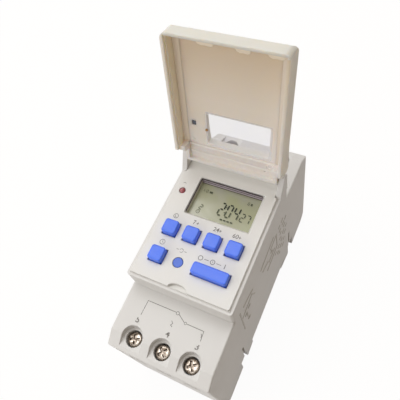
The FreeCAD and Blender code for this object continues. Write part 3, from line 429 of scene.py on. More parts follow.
# Printed wiring diagram and plain terminal numbers on the front shoulder.
# Grey ink put on with a soft pad, so it is thin and a little uneven in strength, and the
# light plastic shows through in specks.
def pad_ink(name, shade, ground):
    """Pad-printed ink with specks of the ground under it."""
    finish, tree, shader, place = new_finish(name, {"IOR": 1.45})
    # Specks of 0.1 mm would not show, so they are drawn at 0.4 mm.
    specks = add(tree, "ShaderNodeTexNoise", {"Scale": 2600.0, "Detail": 3.0}, {"Vector": place})
    thin = add(tree, "ShaderNodeMapRange", {"From Min": 0.45, "From Max": 0.75, "To Max": 0.6},
               {"Value": specks.outputs["Fac"]})
    tone = add(tree, "ShaderNodeMix", {"data_type": "RGBA", 6: linear(shade), 7: linear(ground)},
               {0: thin.outputs["Result"]})
    gloss = add(tree, "ShaderNodeMapRange", {"To Min": 0.5, "To Max": 0.65}, {"Value": specks.outputs["Fac"]})
    join(tree, shader, tone.outputs[2], gloss.outputs["Result"])
    return finish


def numeral(name, text, across, along, base, height, bold):
    """Plain printed figures: their middle at (across, along), their foot at base."""
    thick = 0.015
    face = bpy.data.curves.new(name, "FONT")
    face.body = text
    # The font's figures are 1 / 1.38 of its size high.
    face.size = height * 0.001 * 1.38
    face.align_x = "CENTER"
    face.align_y = "CENTER"
    face.extrude = thick * 0.0005
    face.offset = bold * 0.001
    shape = bpy.data.objects.new(name, face)
    into_scene(shape)
    mesh = baked(shape)
    bpy.data.objects.remove(shape)
    mesh.transform(Matrix.Translation(Vector((across, along, base + thick / 2)) * 0.001))
    mesh.materials.clear()
    mesh.materials.append(grey_ink)
    piece = bpy.data.objects.new(name, mesh)
    into_scene(piece)
    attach(piece, "housing")


grey_ink = pad_ink("grey_ink", "#726E6A", "#D6D4CE")
INK_THICKNESS = 0.012


def shoulder_height(v):
    """Height of the front shoulder, which falls by 1 mm from the nose to the facet."""
    nose_foot, facet_edge = -23.4, -39.4
    return 49.3 - (nose_foot - v) / (nose_foot - facet_edge)


def on_shoulder(u, v, rise):
    """A point on the front shoulder."""
    return (u, v, shoulder_height(v) + rise)


lines = [(0.2, path) for path in (
    [(-10.7, -32.0), (-10.5, -27.1), (-0.4, -27.0)], [(0.9, -27.3), (3.4, -28.9)],
    [(4.4, -29.0), (10.2, -29.0), (10.4, -32.0)], [(-0.5, -29.9), (0.1, -30.5), (-0.3, -31.2), (0.4, -31.6)],
    [(9.7, -29.9), (10.2, -30.6), (10.0, -31.0)],
)]
lines += [(0.17, round_path(0.3, -27.1, 0.5)), (0.17, round_path(3.9, -29.0, 0.38))]
mesh_piece("wiring_print", *raised(lines, INK_THICKNESS, on_shoulder), grey_ink, "housing", "case_abs")
for text, across, along in (("5", -10.9, -33.8), ("4", 0.1, -34.1), ("3", 10.2, -33.9)):
    numeral("terminal_number_" + text, text, across, along, shoulder_height(along) + 0.03, 2.0, 0.04)


# Display board and what hangs under it, with the key switches on top.
# The chip is black moulded epoxy, the cell a pressed nickel-plated can held by two
# nickel strips, and the switches black bodies with white stems.
dress(board_laminate, "display_board")
dress(black_epoxy, "controller_chip")
plated_can = plated_metal("plated_can", "#BDBBB6", "#A9A7A2", 0.3, (1200, 300, 300), 0.3)
dress(plated_can, "clock_crystal", "backup_cell", "cell_tabs")
dress(black_plastic, "switch_bodies", "lcd_frame")
dress(plain_plastic("contact_rubber", "#7C7A80", "#6B6970", 0.7, 0.5, 0.5, 1.41), "lcd_contact_strips")
stem_white = plain_plastic("stem_white", "#DEDCD6", "#D2D0CA", 0.4, 1.0, 0.2)
for key in ("mode", "day", "hour", "minute", "clock", "reset", "manual"):
    dress(stem_white, "plunger_" + key)


# Display cell.
# Two sheets of glass with a grey-green reflector behind them and a satin polariser
# in front, with painted shadow and painted reflections on it; the figures are dark segments, and their soft shadow on
# the reflector is painted.
def display_cell(name):
    """Grey-green reflector: greener toward the right, with painted shadow toward the far edge, painted reflections in
    clouds, and a fine sparkle.
    """
    finish, tree, shader, place = new_finish(name, {"IOR": 1.5, "Coat Weight": 0.35, "Coat Roughness": 0.12})
    split = add(tree, "ShaderNodeSeparateXYZ", {}, {"Vector": place})
    side = add(tree, "ShaderNodeMapRange", {"From Min": -0.0095, "From Max": 0.004}, {"Value": split.outputs["X"]})
    sheet = add(tree, "ShaderNodeMix", {"data_type": "RGBA", 6: linear("#D0D2C0"), 7: linear("#B0B294")},
                {0: side.outputs["Result"]})
    # The far edge is darkened as painted shadow of the window's far wall.
    height = add(tree, "ShaderNodeMapRange", {"From Min": 0.008, "From Max": 0.0165, "To Max": 0.75},
                 {"Value": split.outputs["Y"]})
    with_painted_shadow = add(tree, "ShaderNodeMix", {"data_type": "RGBA", 7: linear("#908F80")},
                {0: height.outputs["Result"], 6: sheet.outputs[2]})
    # Clouds of some 7 mm are painted reflections of what the cell mirrors, and the reflector's sparkle is
    # drawn at 0.4 mm, four times its true size, so that it shows.
    cloud = add(tree, "ShaderNodeTexNoise", {"Scale": 150.0, "Detail": 1.0}, {"Vector": place})
    shade = add(tree, "ShaderNodeMapRange", {"From Min": 0.45, "From Max": 0.65, "To Max": 0.45},
                {"Value": cloud.outputs["Fac"]})
    with_painted_reflection = add(tree, "ShaderNodeMix", {"data_type": "RGBA", 7: linear("#A3A874")},
              {0: shade.outputs["Result"], 6: with_painted_shadow.outputs[2]})
    sparkle = add(tree, "ShaderNodeTexNoise", {"Scale": 2500.0, "Detail": 1.0}, {"Vector": place})
    gloss = add(tree, "ShaderNodeMapRange", {"To Min": 0.3, "To Max": 0.42}, {"Value": sparkle.outputs["Fac"]})
    bump = add(tree, "ShaderNodeBump", {"Strength": 0.15, "Distance": 0.00002}, {"Height": sparkle.outputs["Fac"]})
    join(tree, shader, with_painted_reflection.outputs[2], gloss.outputs["Result"], bump)
    return finish


dress(display_cell("display_cell"), "lcd_glass")
segment_dark = pad_ink("segment_dark", "#262A20", "#383C2E")
segment_faint = pad_ink("segment_faint", "#4E523F", "#5C604A")
segment_shadow = pad_ink("segment_shadow", "#8F927A", "#979A80")
GLASS_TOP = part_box("lcd_glass")[1].z * 1000
FIGURE_LEVEL = GLASS_TOP + 0.03
# Bars are lettered clockwise from the top one, and g is the middle one.
SEGMENTS = {"0": "abcdef", "1": "bc", "2": "abged", "4": "fgbc", "6": "afgedc", "7": "abc"}


def segment_bars(text, left, foot, width, height, stroke, pitch, lean):
    """The bars of seven-segment figures, each a slim hexagon, leaning to the right."""
    bars = []
    gap = stroke * 0.35
    for number, figure in enumerate(text):
        x0 = left + number * pitch
        middle = foot + height / 2
        top = foot + height
        ends = {
            "a": ((0, top), (width, top)), "g": ((0, middle), (width, middle)), "d": ((0, foot), (width, foot)),
            "f": ((0, middle), (0, top)), "b": ((width, middle), (width, top)),
            "e": ((0, foot), (0, middle)), "c": ((width, foot), (width, middle)),
        }
        for bar in SEGMENTS[figure]:
            (xa, ya), (xb, yb) = ends[bar]
            along = Vector((xb - xa, yb - ya)).normalized()
            across = Vector((-along.y, along.x)) * stroke / 2
            a = Vector((x0 + xa, ya)) + along * gap
            b = Vector((x0 + xb, yb)) - along * gap
            tip = along * stroke / 2
            hexagon = [a, a + tip - across, b - tip - across, b, b - tip + across, a + tip + across]
            bars.append([(p.x + (p.y - foot) * lean, p.y) for p in hexagon])
    return bars


def flat_bars(name, bars, base, thick, finish, shift=(0.0, 0.0)):
    """Thin flat bars lying on the cell, open below."""
    points, faces = [], []
    for bar in bars:
        start, count = len(points), len(bar)
        for rise in (0, thick):
            points += [(x + shift[0], y + shift[1], base + rise) for x, y in bar]
        faces.append(tuple(range(start + count, start + 2 * count)))
        faces += [(start + i, start + (i + 1) % count, start + count + (i + 1) % count, start + count + i)
                  for i in range(count)]
    return mesh_piece(name, points, faces, finish, "housing", "display_glass")


def on_cell(u, v, rise):
    """A point on the level of the figures."""
    return (u, v, FIGURE_LEVEL + rise)


bars = []
for text, left, foot, width, height, stroke, pitch, lean in (
    ("2", -0.05, 6.0, 1.5, 4.6, 0.5, 2.6, 0.07), ("04", 2.55, 6.0, 1.6, 4.6, 0.5, 2.6, 0.07),
    ("27", 7.75, 6.1, 1.25, 2.9, 0.3, 1.9, 0.07), ("2", -6.7, 6.0, 0.95, 1.7, 0.2, 1.5, 0.1),
    ("1", -8.3, 12.6, 0.6, 0.95, 0.16, 1.0, 0.1), ("0", -6.9, 12.6, 0.6, 0.95, 0.16, 1.0, 0.1),
    ("6", 8.2, 12.6, 0.65, 0.95, 0.16, 1.0, 0.1),
):
    bars += segment_bars(text, left, foot, width, height, stroke, pitch, lean)
for dot in ((2.0, 7.2, 2.3, 7.6), (2.1, 9.2, 2.4, 9.6), (-5.6, 12.6, -4.5, 13.3), (9.3, 12.6, 9.9, 13.4)):
    bars.append(oblong(*dot))
bars += [oblong(1.7 + 1.2 * i, 4.45, 2.55 + 1.2 * i, 4.9) for i in range(4)]
# The upper halves of the large figures are at the best contrast, the rest is fainter.
dark = [bar for bar in bars if sum(y for x, y in bar) / len(bar) > 8.2 and bar[0][0] > -1 and bar[0][1] < 11.5]
faint = [bar for bar in bars if bar not in dark]
flat_bars("display_figures", dark, FIGURE_LEVEL, 0.02, segment_dark)
flat_bars("display_lower_figures", faint, FIGURE_LEVEL, 0.02, segment_faint)
# The figures' soft shadow is painted: a paler copy of all the bars, shifted a little and laid just under them.
flat_bars("display_shadows", bars, GLASS_TOP + 0.005, 0.01, segment_shadow, (0.22, -0.22))
lines = [(0.16, round_path(-6.4, 4.9, 0.62)), (0.14, [(-6.4, 5.3), (-6.4, 4.9), (-6.1, 4.7)])]
mesh_piece("display_ring", *raised(lines, 0.02, on_cell), segment_faint, "housing", "display_glass")


# Painted shade and reflection in the window's walls.
# Strips stand against the two far walls of the window and carry painted light: the black ones
# are painted shade lines, the violet-grey ones the walls' painted reflection in the cell, and the
# left strip is painted with the cell's green as a painted reflection.
painted_shade_black = plain_plastic("painted_shade_black", "#2E2529", "#3C3236", 0.75, 0.5, 0.6, 1.4)
painted_reflection_violet = plain_plastic("painted_reflection_violet", "#C9BDC4", "#B9ADB5", 0.4, 1.0, 0.3)
WINDOW_LEFT, WINDOW_RIGHT, WINDOW_NEAR, WINDOW_FAR = -9.5, 12.45, 2.9, 16.1


def window_band(points, faces, near_walls, low, high, proud):
    """A strip round two walls of the window, standing off them by proud."""
    if near_walls:
        outer = [(WINDOW_LEFT + 0.4, WINDOW_NEAR), (WINDOW_RIGHT, WINDOW_NEAR), (WINDOW_RIGHT, WINDOW_FAR - 0.4)]
        inner = [(WINDOW_LEFT + 0.4, WINDOW_NEAR + proud), (WINDOW_RIGHT - proud, WINDOW_NEAR + proud),
                 (WINDOW_RIGHT - proud, WINDOW_FAR - 0.4)]
    else:
        outer = [(WINDOW_LEFT, WINDOW_NEAR + 0.05), (WINDOW_LEFT, WINDOW_FAR), (WINDOW_RIGHT - 0.05, WINDOW_FAR)]
        inner = [(WINDOW_LEFT + proud * 0.4, WINDOW_NEAR + 0.05), (WINDOW_LEFT + proud * 0.4, WINDOW_FAR - proud),
                 (WINDOW_RIGHT - 0.05, WINDOW_FAR - proud)]
    start = len(points)
    for height in (low, high):
        points += [(x, y, height) for x, y in outer] + [(x, y, height) for x, y in inner]
    for i in (0, 1):
        faces += [(start + 3 + i, start + 4 + i, start + 10 + i, start + 9 + i),
                  (start + 6 + i, start + 7 + i, start + 10 + i, start + 9 + i)]
    faces += [(start, start + 3, start + 9, start + 6), (start + 2, start + 5, start + 11, start + 8)]


CELL_LEVEL = GLASS_TOP + 0.02
# Black strips are painted shade lines, violet-grey strips painted reflection of the walls.
for name, finish, bands in (
    ("window_painted_shade", painted_shade_black, ((False, 57.5, 57.94, 0.12), (False, 56.75, 57.05, 0.3),
                                    (False, CELL_LEVEL, 56.12, 0.52), (True, CELL_LEVEL, 56.25, 0.12))),
    ("window_painted_reflection", painted_reflection_violet, ((False, 57.05, 57.5, 0.26), (False, 56.12, 56.75, 0.46))),
):
    points, faces = [], []
    for near_walls, low, high, proud in bands:
        window_band(points, faces, near_walls, low, high, proud)
    mesh_piece(name, points, faces, finish, "housing", "black_plastic", 20)
# The left strip's green is a painted reflection of the cell.
painted_reflection_green = plain_plastic("painted_reflection_green", "#C6C5AE", "#B5B49C", 0.3, 1.0, 0.3)
strip = block(WINDOW_LEFT + 0.02, WINDOW_NEAR + 0.1, WINDOW_LEFT + 0.24, WINDOW_FAR - 0.56, CELL_LEVEL, 57.35)
mesh_piece("window_left_painted_reflection", *skinned(strip), painted_reflection_green, "housing", "black_plastic", 20)


# Printed signs on the face plate.
# The same grey ink: plain figures and simple signs over the keys, a clock over the
# lower left key and a row of signs over the wide one.
# The lamp's top stands 0.6 mm out of the plate.
LAMP_PROUD = 0.6
PRINT_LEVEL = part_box("led_indicator")[1].z * 1000 - LAMP_PROUD + 0.004


def on_plate(u, v, rise):
    """A point on the face plate."""
    return (u, v, PRINT_LEVEL + rise)


half_turn = [(-4.5 + 0.6 * math.cos(t / 10), -10.4 + 0.6 * math.sin(t / 10)) for t in range(-22, 32, 3)]
lines = [
    (0.16, round_path(-11.7, -9.85, 0.85)), (0.15, [(-11.7, -9.35), (-11.7, -9.85), (-11.3, -10.05)]),
    (0.16, round_path(-11.7, 0.05, 0.8)), (0.15, [(-11.95, 0.45), (-11.95, -0.35), (-11.35, -0.35)]),
    (0.15, half_turn), (0.15, [(-6.3, -10.35), (-5.5, -10.35)]), (0.15, [(-3.5, -10.45), (-2.7, -10.45)]),
    (0.14, [(-14.9, 12.3), (-14.6, 12.7), (-14.2, 12.7), (-13.9, 12.3)]),
    (0.2, round_path(2.2, -10.45, 0.72)), (0.18, [(3.5, -10.45), (5.0, -10.45)]),
    (0.2, round_path(6.3, -10.45, 0.72)), (0.15, [(6.3, -10.05), (6.3, -10.45), (6.6, -10.6)]),
    (0.16, [(7.5, -10.45), (9.2, -10.45)]), (0.24, [(10.4, -9.7), (10.4, -11.2)]),
]
for across in (-3.65, 4.35, 11.0):
    lines += [(0.17, [(across - 0.45, -0.05), (across + 0.45, -0.05)]), (0.17, [(across, -0.5), (across, 0.4)])]
mesh_piece("face_signs", *raised(lines, INK_THICKNESS, on_plate), grey_ink, "housing", "case_abs")
for text, across in (("7", -4.85), ("24", 2.9), ("60", 9.55)):
    numeral("key_number_" + text, text, across, -0.05, PRINT_LEVEL, 1.45, 0.015)


# Blue keys.
# Moulded ABS in a strong blue, smoother than the case, with softly rounded rims and
# very slightly hollow tops where the tool was polished and fingers have kept them bright.
def rounded_ring(across, along, half_x, half_y, corner, height):
    """One level of a key: a rectangle with round corners."""
    ring = []
    for quarter, (side, end) in enumerate(((1, 1), (-1, 1), (-1, -1), (1, -1))):
        for i in range(7):
            turn = (quarter + i / 6) * math.pi / 2
            ring.append((across + side * (half_x - corner) + corner * math.cos(turn),
                         along + end * (half_y - corner) + corner * math.sin(turn), height))
    return ring


FLANGE, FLANGE_HEIGHT, KEY_CORNER, KEY_RIM = 0.6, 0.8, 0.85, 0.45


def key_rings(across, along, low, high):
    """Levels of a key from its flange up over the rounded rim to the hollow of its top."""
    half_x, half_y = (high.x - low.x) / 2 - FLANGE, (high.y - low.y) / 2 - FLANGE
    shoulder = low.z + FLANGE_HEIGHT
    levels = [(-FLANGE, 0.3, low.z), (-FLANGE, 0.3, shoulder), (0, KEY_CORNER, shoulder)]
    for i in range(7):
        turn = i / 6 * math.pi / 2
        inset = 0.06 + KEY_RIM * (1 - math.cos(turn))
        levels.append((inset, max(0.15, KEY_CORNER - inset * 0.7), high.z - KEY_RIM + KEY_RIM * math.sin(turn)))
    levels += [(KEY_RIM + inset, 0.15, high.z - fall) for inset, fall in ((0.35, 0.01), (0.9, 0.05), (1.3, 0.07))]
    return [rounded_ring(across, along, half_x - inset, half_y - inset, corner, height)
            for inset, corner, height in levels]


key_blue = moulded_abs("key_blue", "#4078FF", "#386EFA", "#588CFF", 0.4, 0.12, 0.0002)
# Fingers have polished the tops, so a faint coat takes the light on them.
key_blue.node_tree.nodes["Principled BSDF"].inputs["Coat Weight"].default_value = 0.3
key_blue.node_tree.nodes["Principled BSDF"].inputs["Coat Roughness"].default_value = 0.2
for key in ("mode", "day", "hour", "minute", "clock", "manual"):
    rings = key_rings(*box_mm("button_" + key))
    cap = mesh_piece("key_" + key, *skinned(rings), key_blue, "key_" + key, "key_blue", 50)
    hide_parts("button_" + key)


# Small round key for the reset.
# The same blue ABS in a duller batch, nearly flush with the plate and shallowly dished,
# so that it is pressed with a pen's tip and not by mistake.
reset_blue = moulded_abs("reset_blue", "#587CE2", "#5074DC", "#6A8CE4", 0.45, 0.12, 0.0002)
across, along, low, high = box_mm("button_reset")
profile = [(2.2, low.z), (2.2, low.z + 0.8), (1.6, low.z + 0.82), (1.6, high.z - 0.14), (1.55, high.z - 0.05),
           (1.45, high.z), (1.1, high.z - 0.03), (0.6, high.z - 0.05), (0.05, high.z - 0.05)]
cap = mesh_piece("key_reset", *turned(profile, across, along), reset_blue, "key_reset", "key_blue", 50)
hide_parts("button_reset")


# Red lamp.
# A 2 mm lamp with a round end, cast in tinted epoxy and pushed up through the face
# plate from behind. It is glossy and slightly clear, with a darker heart.
def cast_lens(name):
    """Deep red cast epoxy: a glossy skin over cloudiness of 1.4 mm, which is all the eye sees of its heart."""
    finish, tree, shader, place = new_finish(name, {"IOR": 1.52, "Coat Weight": 1.0, "Coat Roughness": 0.04,
                                                    "Transmission Weight": 0.25})
    cloud = add(tree, "ShaderNodeTexNoise", {"Scale": 700.0, "Detail": 2.0}, {"Vector": place})
    bump = add(tree, "ShaderNodeBump", {"Strength": 0.05, "Distance": 0.00002}, {"Height": cloud.outputs["Fac"]})
    toned(tree, shader, cloud.outputs["Fac"], ("#C8323F", "#951C29"), (0.12, 0.25), bump)
    return finish


across, along, low, high = box_mm("led_indicator")
radius = (high.x - low.x) / 2
profile = [(radius, low.z)]
for i in range(9):
    turn = i / 9 * math.pi / 2
    profile.append((radius * math.cos(turn), high.z - radius + radius * math.sin(turn)))
profile.append((0.05, high.z))
lamp = mesh_piece("red_lamp", *turned(profile, across, along, 32), cast_lens("red_epoxy"), "housing", "red_lens", 60)
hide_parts("led_indicator")


# Lid.
# A thin tray of ivory ABS, moulded in one piece with its two hinge pins, which snap in
# between the case's ears. The glow of light through its thin walls and ceiling is painted
# into its colour, with painted shade under the front wall.
LID_HINGE_Y, LID_HINGE_Z, LID_SWING = 22.0, 62.9, math.radians(103.75)
LID_CEILING, LID_REACH, SIDE_SKIN, LEFT_WALL_FACE = 61.7, 43.98, 17.85, -16.3
LID_OUT = Vector((0, math.sin(LID_SWING), math.cos(LID_SWING)))
LID_ALONG = Vector((0, -math.cos(LID_SWING), math.sin(LID_SWING)))


def swung(x, y, z):
    """A place on the closed lid, taken to where the open lid has it."""
    return Vector((x, LID_HINGE_Y, LID_HINGE_Z)) + LID_ALONG * (LID_HINGE_Y - y) + LID_OUT * (z - LID_HINGE_Z)


def lid_plastic(name):
    """Ivory moulded ABS with painted light: a painted glow where light comes through the walls, and painted shade
    inside under the front wall.
    """
    finish = moulded_abs(name, "#E7E5DC", "#E1DED4", "#EFEDE5", 0.42, 0.3, 0.0004)
    tree = finish.node_tree
    shader = tree.nodes["Principled BSDF"]
    # Light sinks some 2.5 mm into the ivory, deepest in the red.
    shader.inputs["Subsurface Weight"].default_value = 0.7
    shader.inputs["Subsurface Radius"].default_value = (1.0, 0.82, 0.62)
    shader.inputs["Subsurface Scale"].default_value = 0.0025
    outside = shader.inputs["Base Color"].links[0].from_socket
    # The inner faces lie under the ceiling, short of the front wall's skin and between the sides' skins.
    place = add(tree, "ShaderNodeTexCoord").outputs["Object"]
    hinge = Vector((0, LID_HINGE_Y, LID_HINGE_Z)) * 0.001
    foot = hinge.dot(LID_ALONG)
    ceiling = hinge.dot(LID_OUT) + (LID_CEILING + 0.05 - LID_HINGE_Z) * 0.001
    depth = add(tree, "ShaderNodeVectorMath", {"operation": "DOT_PRODUCT", 1: LID_OUT}, {0: place})
    under = add(tree, "ShaderNodeMath", {"operation": "LESS_THAN", 1: ceiling}, {0: depth.outputs["Value"]})
    reach = add(tree, "ShaderNodeVectorMath", {"operation": "DOT_PRODUCT", 1: LID_ALONG}, {0: place})
    short = add(tree, "ShaderNodeMath", {"operation": "LESS_THAN", 1: foot + LID_REACH * 0.001},
                {0: reach.outputs["Value"]})
    split = add(tree, "ShaderNodeSeparateXYZ", {}, {"Vector": place})
    aside = add(tree, "ShaderNodeMath", {"operation": "ABSOLUTE"}, {0: split.outputs["X"]})
    between = add(tree, "ShaderNodeMath", {"operation": "LESS_THAN", 1: SIDE_SKIN * 0.001}, {0: aside.outputs[0]})
    inside = add(tree, "ShaderNodeMath", {"operation": "MULTIPLY"}, {0: under.outputs[0], 1: short.outputs[0]})
    inside = add(tree, "ShaderNodeMath", {"operation": "MULTIPLY"}, {0: inside.outputs[0], 1: between.outputs[0]})
    # The sides' outer faces are painted paler and warmer than the top, a painted glow for light through their thin
    # walls.
    skin = add(tree, "ShaderNodeMath", {"operation": "SUBTRACT", 0: 1.0}, {1: between.outputs[0]})
    outside = add(tree, "ShaderNodeMix", {"data_type": "RGBA", 7: linear("#F4ECE0")},
                  {0: skin.outputs[0], 6: outside}).outputs[2]
    # Inside, the colour goes from a pale painted glow by the hinge to a darker, warmer painted shade under the front
    # wall, and the left wall gets the brightest painted glow.
    low = add(tree, "ShaderNodeMapRange", {"From Min": foot + 0.006, "From Max": foot + 0.018},
              {"Value": reach.outputs["Value"]})
    high = add(tree, "ShaderNodeMapRange", {"From Min": foot + 0.024, "From Max": foot + 0.044},
               {"Value": reach.outputs["Value"]})
    wall = add(tree, "ShaderNodeMath", {"operation": "LESS_THAN", 1: LEFT_WALL_FACE * 0.001}, {0: split.outputs["X"]})
    painted_glow_and_shade = add(tree, "ShaderNodeMix", {"data_type": "RGBA", 6: linear("#F6EFE9"), 7: linear("#F0E6DA")},
               {0: low.outputs["Result"]})
    painted_glow_and_shade = add(tree, "ShaderNodeMix", {"data_type": "RGBA", 7: linear("#E2D2B9")},
               {0: high.outputs["Result"], 6: painted_glow_and_shade.outputs[2]})
    painted_glow_and_shade = add(tree, "ShaderNodeMix", {"data_type": "RGBA", 7: linear("#FFEFE0")},
               {0: wall.outputs[0], 6: painted_glow_and_shade.outputs[2]})
    both = add(tree, "ShaderNodeMix", {"data_type": "RGBA"},
               {0: inside.outputs[0], 6: outside, 7: painted_glow_and_shade.outputs[2]})
    tree.links.new(both.outputs[2], shader.inputs["Base Color"])
    return finish


dress(lid_plastic("lid_abs"), "lid_cover")


# Ribs and latch lips, moulded with the tray.
# A rib runs along each side wall and two run across by the hinge; wavy lips in the front
# wall spring over the case's edge. They are one moulding, and their different tones are painted light.
def lid_strip(section, start, end, sides=False):
    """A rib in the closed lid: a section of (u, z) run along the lid, or across it from side to side."""
    return [[swung(u, way, z) if sides else swung(way, u, z) for u, z in section] for way in (start, end)]


# The left rib and the lips get a painted glow, the right rib painted shade, and the cross ribs the pale painted glow of
# the tray by the hinge.
glow_painted_rib_abs = moulded_abs("glow_painted_rib_abs", "#FFF3DE", "#FBEDD6", "#FFF8E8", 0.45, 0.2, 0.0003)
shade_painted_rib_abs = moulded_abs("shade_painted_rib_abs", "#E8DCCC", "#E2D5C4", "#EEE4D6", 0.45, 0.2, 0.0003)
cross_rib_abs = moulded_abs("cross_rib_abs", "#F9F4EE", "#F4EFE8", "#FCF9F4", 0.45, 0.2, 0.0003)
ROOT = LID_CEILING + 0.05
for side, name, finish in ((-1, "lid_left_rib", glow_painted_rib_abs), (1, "lid_right_rib", shade_painted_rib_abs)):
    section = [(side * out, z) for out, z in (
        (16.62, ROOT), (16.62, 61.05), (16.35, 61.05), (16.1, 61.38), (15.1, 61.45), (14.6, ROOT))]
    mesh_piece(name, *skinned(lid_strip(section, -21.9, 17.1, True)), finish, "lid", "lid_abs", 50)
ribs = []
for near, far, low in ((16.1, 16.8, 61.2), (19.2, 19.9, 61.35)):
    section = [(near, ROOT), (near, low + 0.2), (near + 0.2, low), (far - 0.2, low), (far, low + 0.2), (far, ROOT)]
    ribs.append(lid_strip(section, -14.4, 14.4))
mesh_piece("lid_cross_ribs", *skinned(*ribs), cross_rib_abs, "lid", "lid_abs", 50)
lips = []
for left, right, drop in ((-7.9, -2.6, 1.1), (3.1, 7.6, 1.3), (11.7, 16.5, 1.2)):
    wave = [(left, 0), (left + 0.5, drop * 0.72), (left + 1.4, drop), ((left + right) / 2, drop * 0.9),
            (right - 1.2, drop), (right - 0.4, drop * 0.8), (right, 0)]
    lips.append([[swung(x, -21.98 + reach * share, height) for x, reach in wave]
                 for height, share in ((58.4, 0.86), (58.55, 1.0), (59.2, 0.95), (60.4, 0.3))])
mesh_piece("lid_latch_lips", *skinned(*lips), glow_painted_rib_abs, "lid", "lid_abs", 40)


# Small marks on the tray's ceiling.
# A pip of amber glue has run out by the window; a white disc by an ejector pin is a painted
# highlight, and a dark button by the hinge is the painted shade of a pin's small hole.
def lid_button(name, x, y, radius, drop, finish, slot):
    """A low round button on the lid's ceiling."""
    turns = [math.pi * i / 10 for i in range(20)]
    rings = [[swung(x + radius * share * math.cos(t), y + radius * share * math.sin(t), LID_CEILING - fall)
              for t in turns] for share, fall in ((1.0, -0.05), (1.0, drop * 0.5), (0.8, drop * 0.85), (0.35, drop))]
    return mesh_piece(name, *skinned(rings), finish, "lid", slot, 50)


amber_glue = plain_plastic("amber_glue", "#B98A4E", "#A87A42", 0.25, 0.8, 0.2)
painted_highlight_disc = plain_plastic("painted_highlight_disc", "#FBF9F2", "#F3F0E6", 0.3, 0.8, 0.2)
painted_hole_shade = plain_plastic("painted_hole_shade", "#4A4A4E", "#3C3B40", 0.6, 0.8, 0.2)
lid_button("glue_pip", -8.2, 9.4, 0.45, 0.5, amber_glue, "lid_abs")
lid_button("ejector_mark", -13.2, 14.45, 0.5, 0.2, painted_highlight_disc, "lid_abs")
lid_button("pin_mark", -16.1, 19.0, 0.36, 0.16, painted_hole_shade, "lid_abs")


# Light pipe.
# A stub of smoked, glossy acrylic pressed into the small hole that lies over the red
# lamp when the lid is closed.
smoked_pipe = plain_plastic("smoked_pipe", "#59616E", "#4B5360", 0.18, 0.8, 0.15)
rings = [rounded_ring(-12.6, 7.8, half, half + 0.15, 0.12, height)
         for half, height in ((0.56, 61.78), (0.64, 61.86), (0.64, 62.85), (0.6, 62.95))]
rings = [[swung(*spot) for spot in ring] for ring in rings]
mesh_piece("light_pipe", *skinned(rings), smoked_pipe, "lid", "lid_abs", 40)


# Window of the lid.
# Clear polycarbonate, moulded with a raised pane that fills the opening, glued in from
# behind and held by three melted stakes in the corner by the hinge.
def clear_sheet(name):
    """Clear moulded sheet: most light goes straight through, a faint haze and hairline scuffs stay in sight."""
    finish, tree, shader, place = new_finish(name, {"IOR": 1.585, "Alpha": 0.2, "Base Color": linear("#E6E5EC")})
    # The hairlines are drawn 0.6 mm wide and 3 mm long, far coarser than true ones, so that they show.
    drawn = add(tree, "ShaderNodeMapping", {"Scale": (300, 1700, 1700), "Rotation": (0.0, 0.0, 0.5)}, {"Vector": place})
    scuffs = add(tree, "ShaderNodeTexNoise", {"Scale": 1.0, "Detail": 5.0}, {"Vector": drawn.outputs["Vector"]})
    gloss = add(tree, "ShaderNodeMapRange", {"From Min": 0.45, "From Max": 0.7, "To Min": 0.05, "To Max": 0.15},
                {"Value": scuffs.outputs["Fac"]})
    bump = add(tree, "ShaderNodeBump", {"Strength": 0.06, "Distance": 0.00002}, {"Height": scuffs.outputs["Fac"]})
    tree.links.new(gloss.outputs["Result"], shader.inputs["Roughness"])
    tree.links.new(bump.outputs["Normal"], shader.inputs["Normal"])
    return finish


OPENING_LEFT, OPENING_RIGHT, OPENING_NEAR, OPENING_FAR = -8.0, 12.6, 3.05, 14.65


def sheet_ring(grow_left, grow_right, grow_near, grow_far, corner, height):
    """One level of the window: the lid's opening, grown on each side."""
    left, right = OPENING_LEFT - grow_left, OPENING_RIGHT + grow_right
    near, far = OPENING_NEAR - grow_near, OPENING_FAR + grow_far
    ring = rounded_ring((left + right) / 2, (near + far) / 2, (right - left) / 2, (far - near) / 2, corner, height)
    return [swung(*spot) for spot in ring]


clear_polycarbonate = clear_sheet("clear_polycarbonate")
rings = [sheet_ring(*level) for level in (
    (0.4, 0.6, 0.4, 0.8, 0.7, 61.6), (0.5, 0.7, 0.5, 0.9, 0.7, 61.64), (0.5, 0.7, 0.5, 0.9, 0.7, 61.68),
    (-0.02, -0.02, -0.02, -0.02, 0.5, 61.68), (-0.02, -0.02, -0.02, -0.02, 0.5, 62.0),
)]
pane = mesh_piece("window_pane", *skinned(rings), clear_polycarbonate, "lid", "clear_polycarbonate", 5)
pane.visible_shadow = False
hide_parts("lid_window")
for number, (x, y, radius) in enumerate(((13.0, 17.4, 0.6), (12.2, 18.2, 0.5), (11.4, 19.9, 0.45))):
    stake = lid_button("window_stake_%d" % number, x, y, radius, 0.3, clear_polycarbonate, "clear_polycarbonate")
    stake.visible_shadow = False


# Table, light and camera.
# A white table under an even white surround, a large soft lamp overhead, others in
# front, to the left and behind, and the camera at the photograph's place and angle.
table = bpy.data.objects.new("table", bpy.data.meshes.new("table"))
table.data.from_pydata([(-6, -6, 0), (6, -6, 0), (6, 6, 0), (-6, 6, 0)], [], [(0, 1, 2, 3)])
into_scene(table)


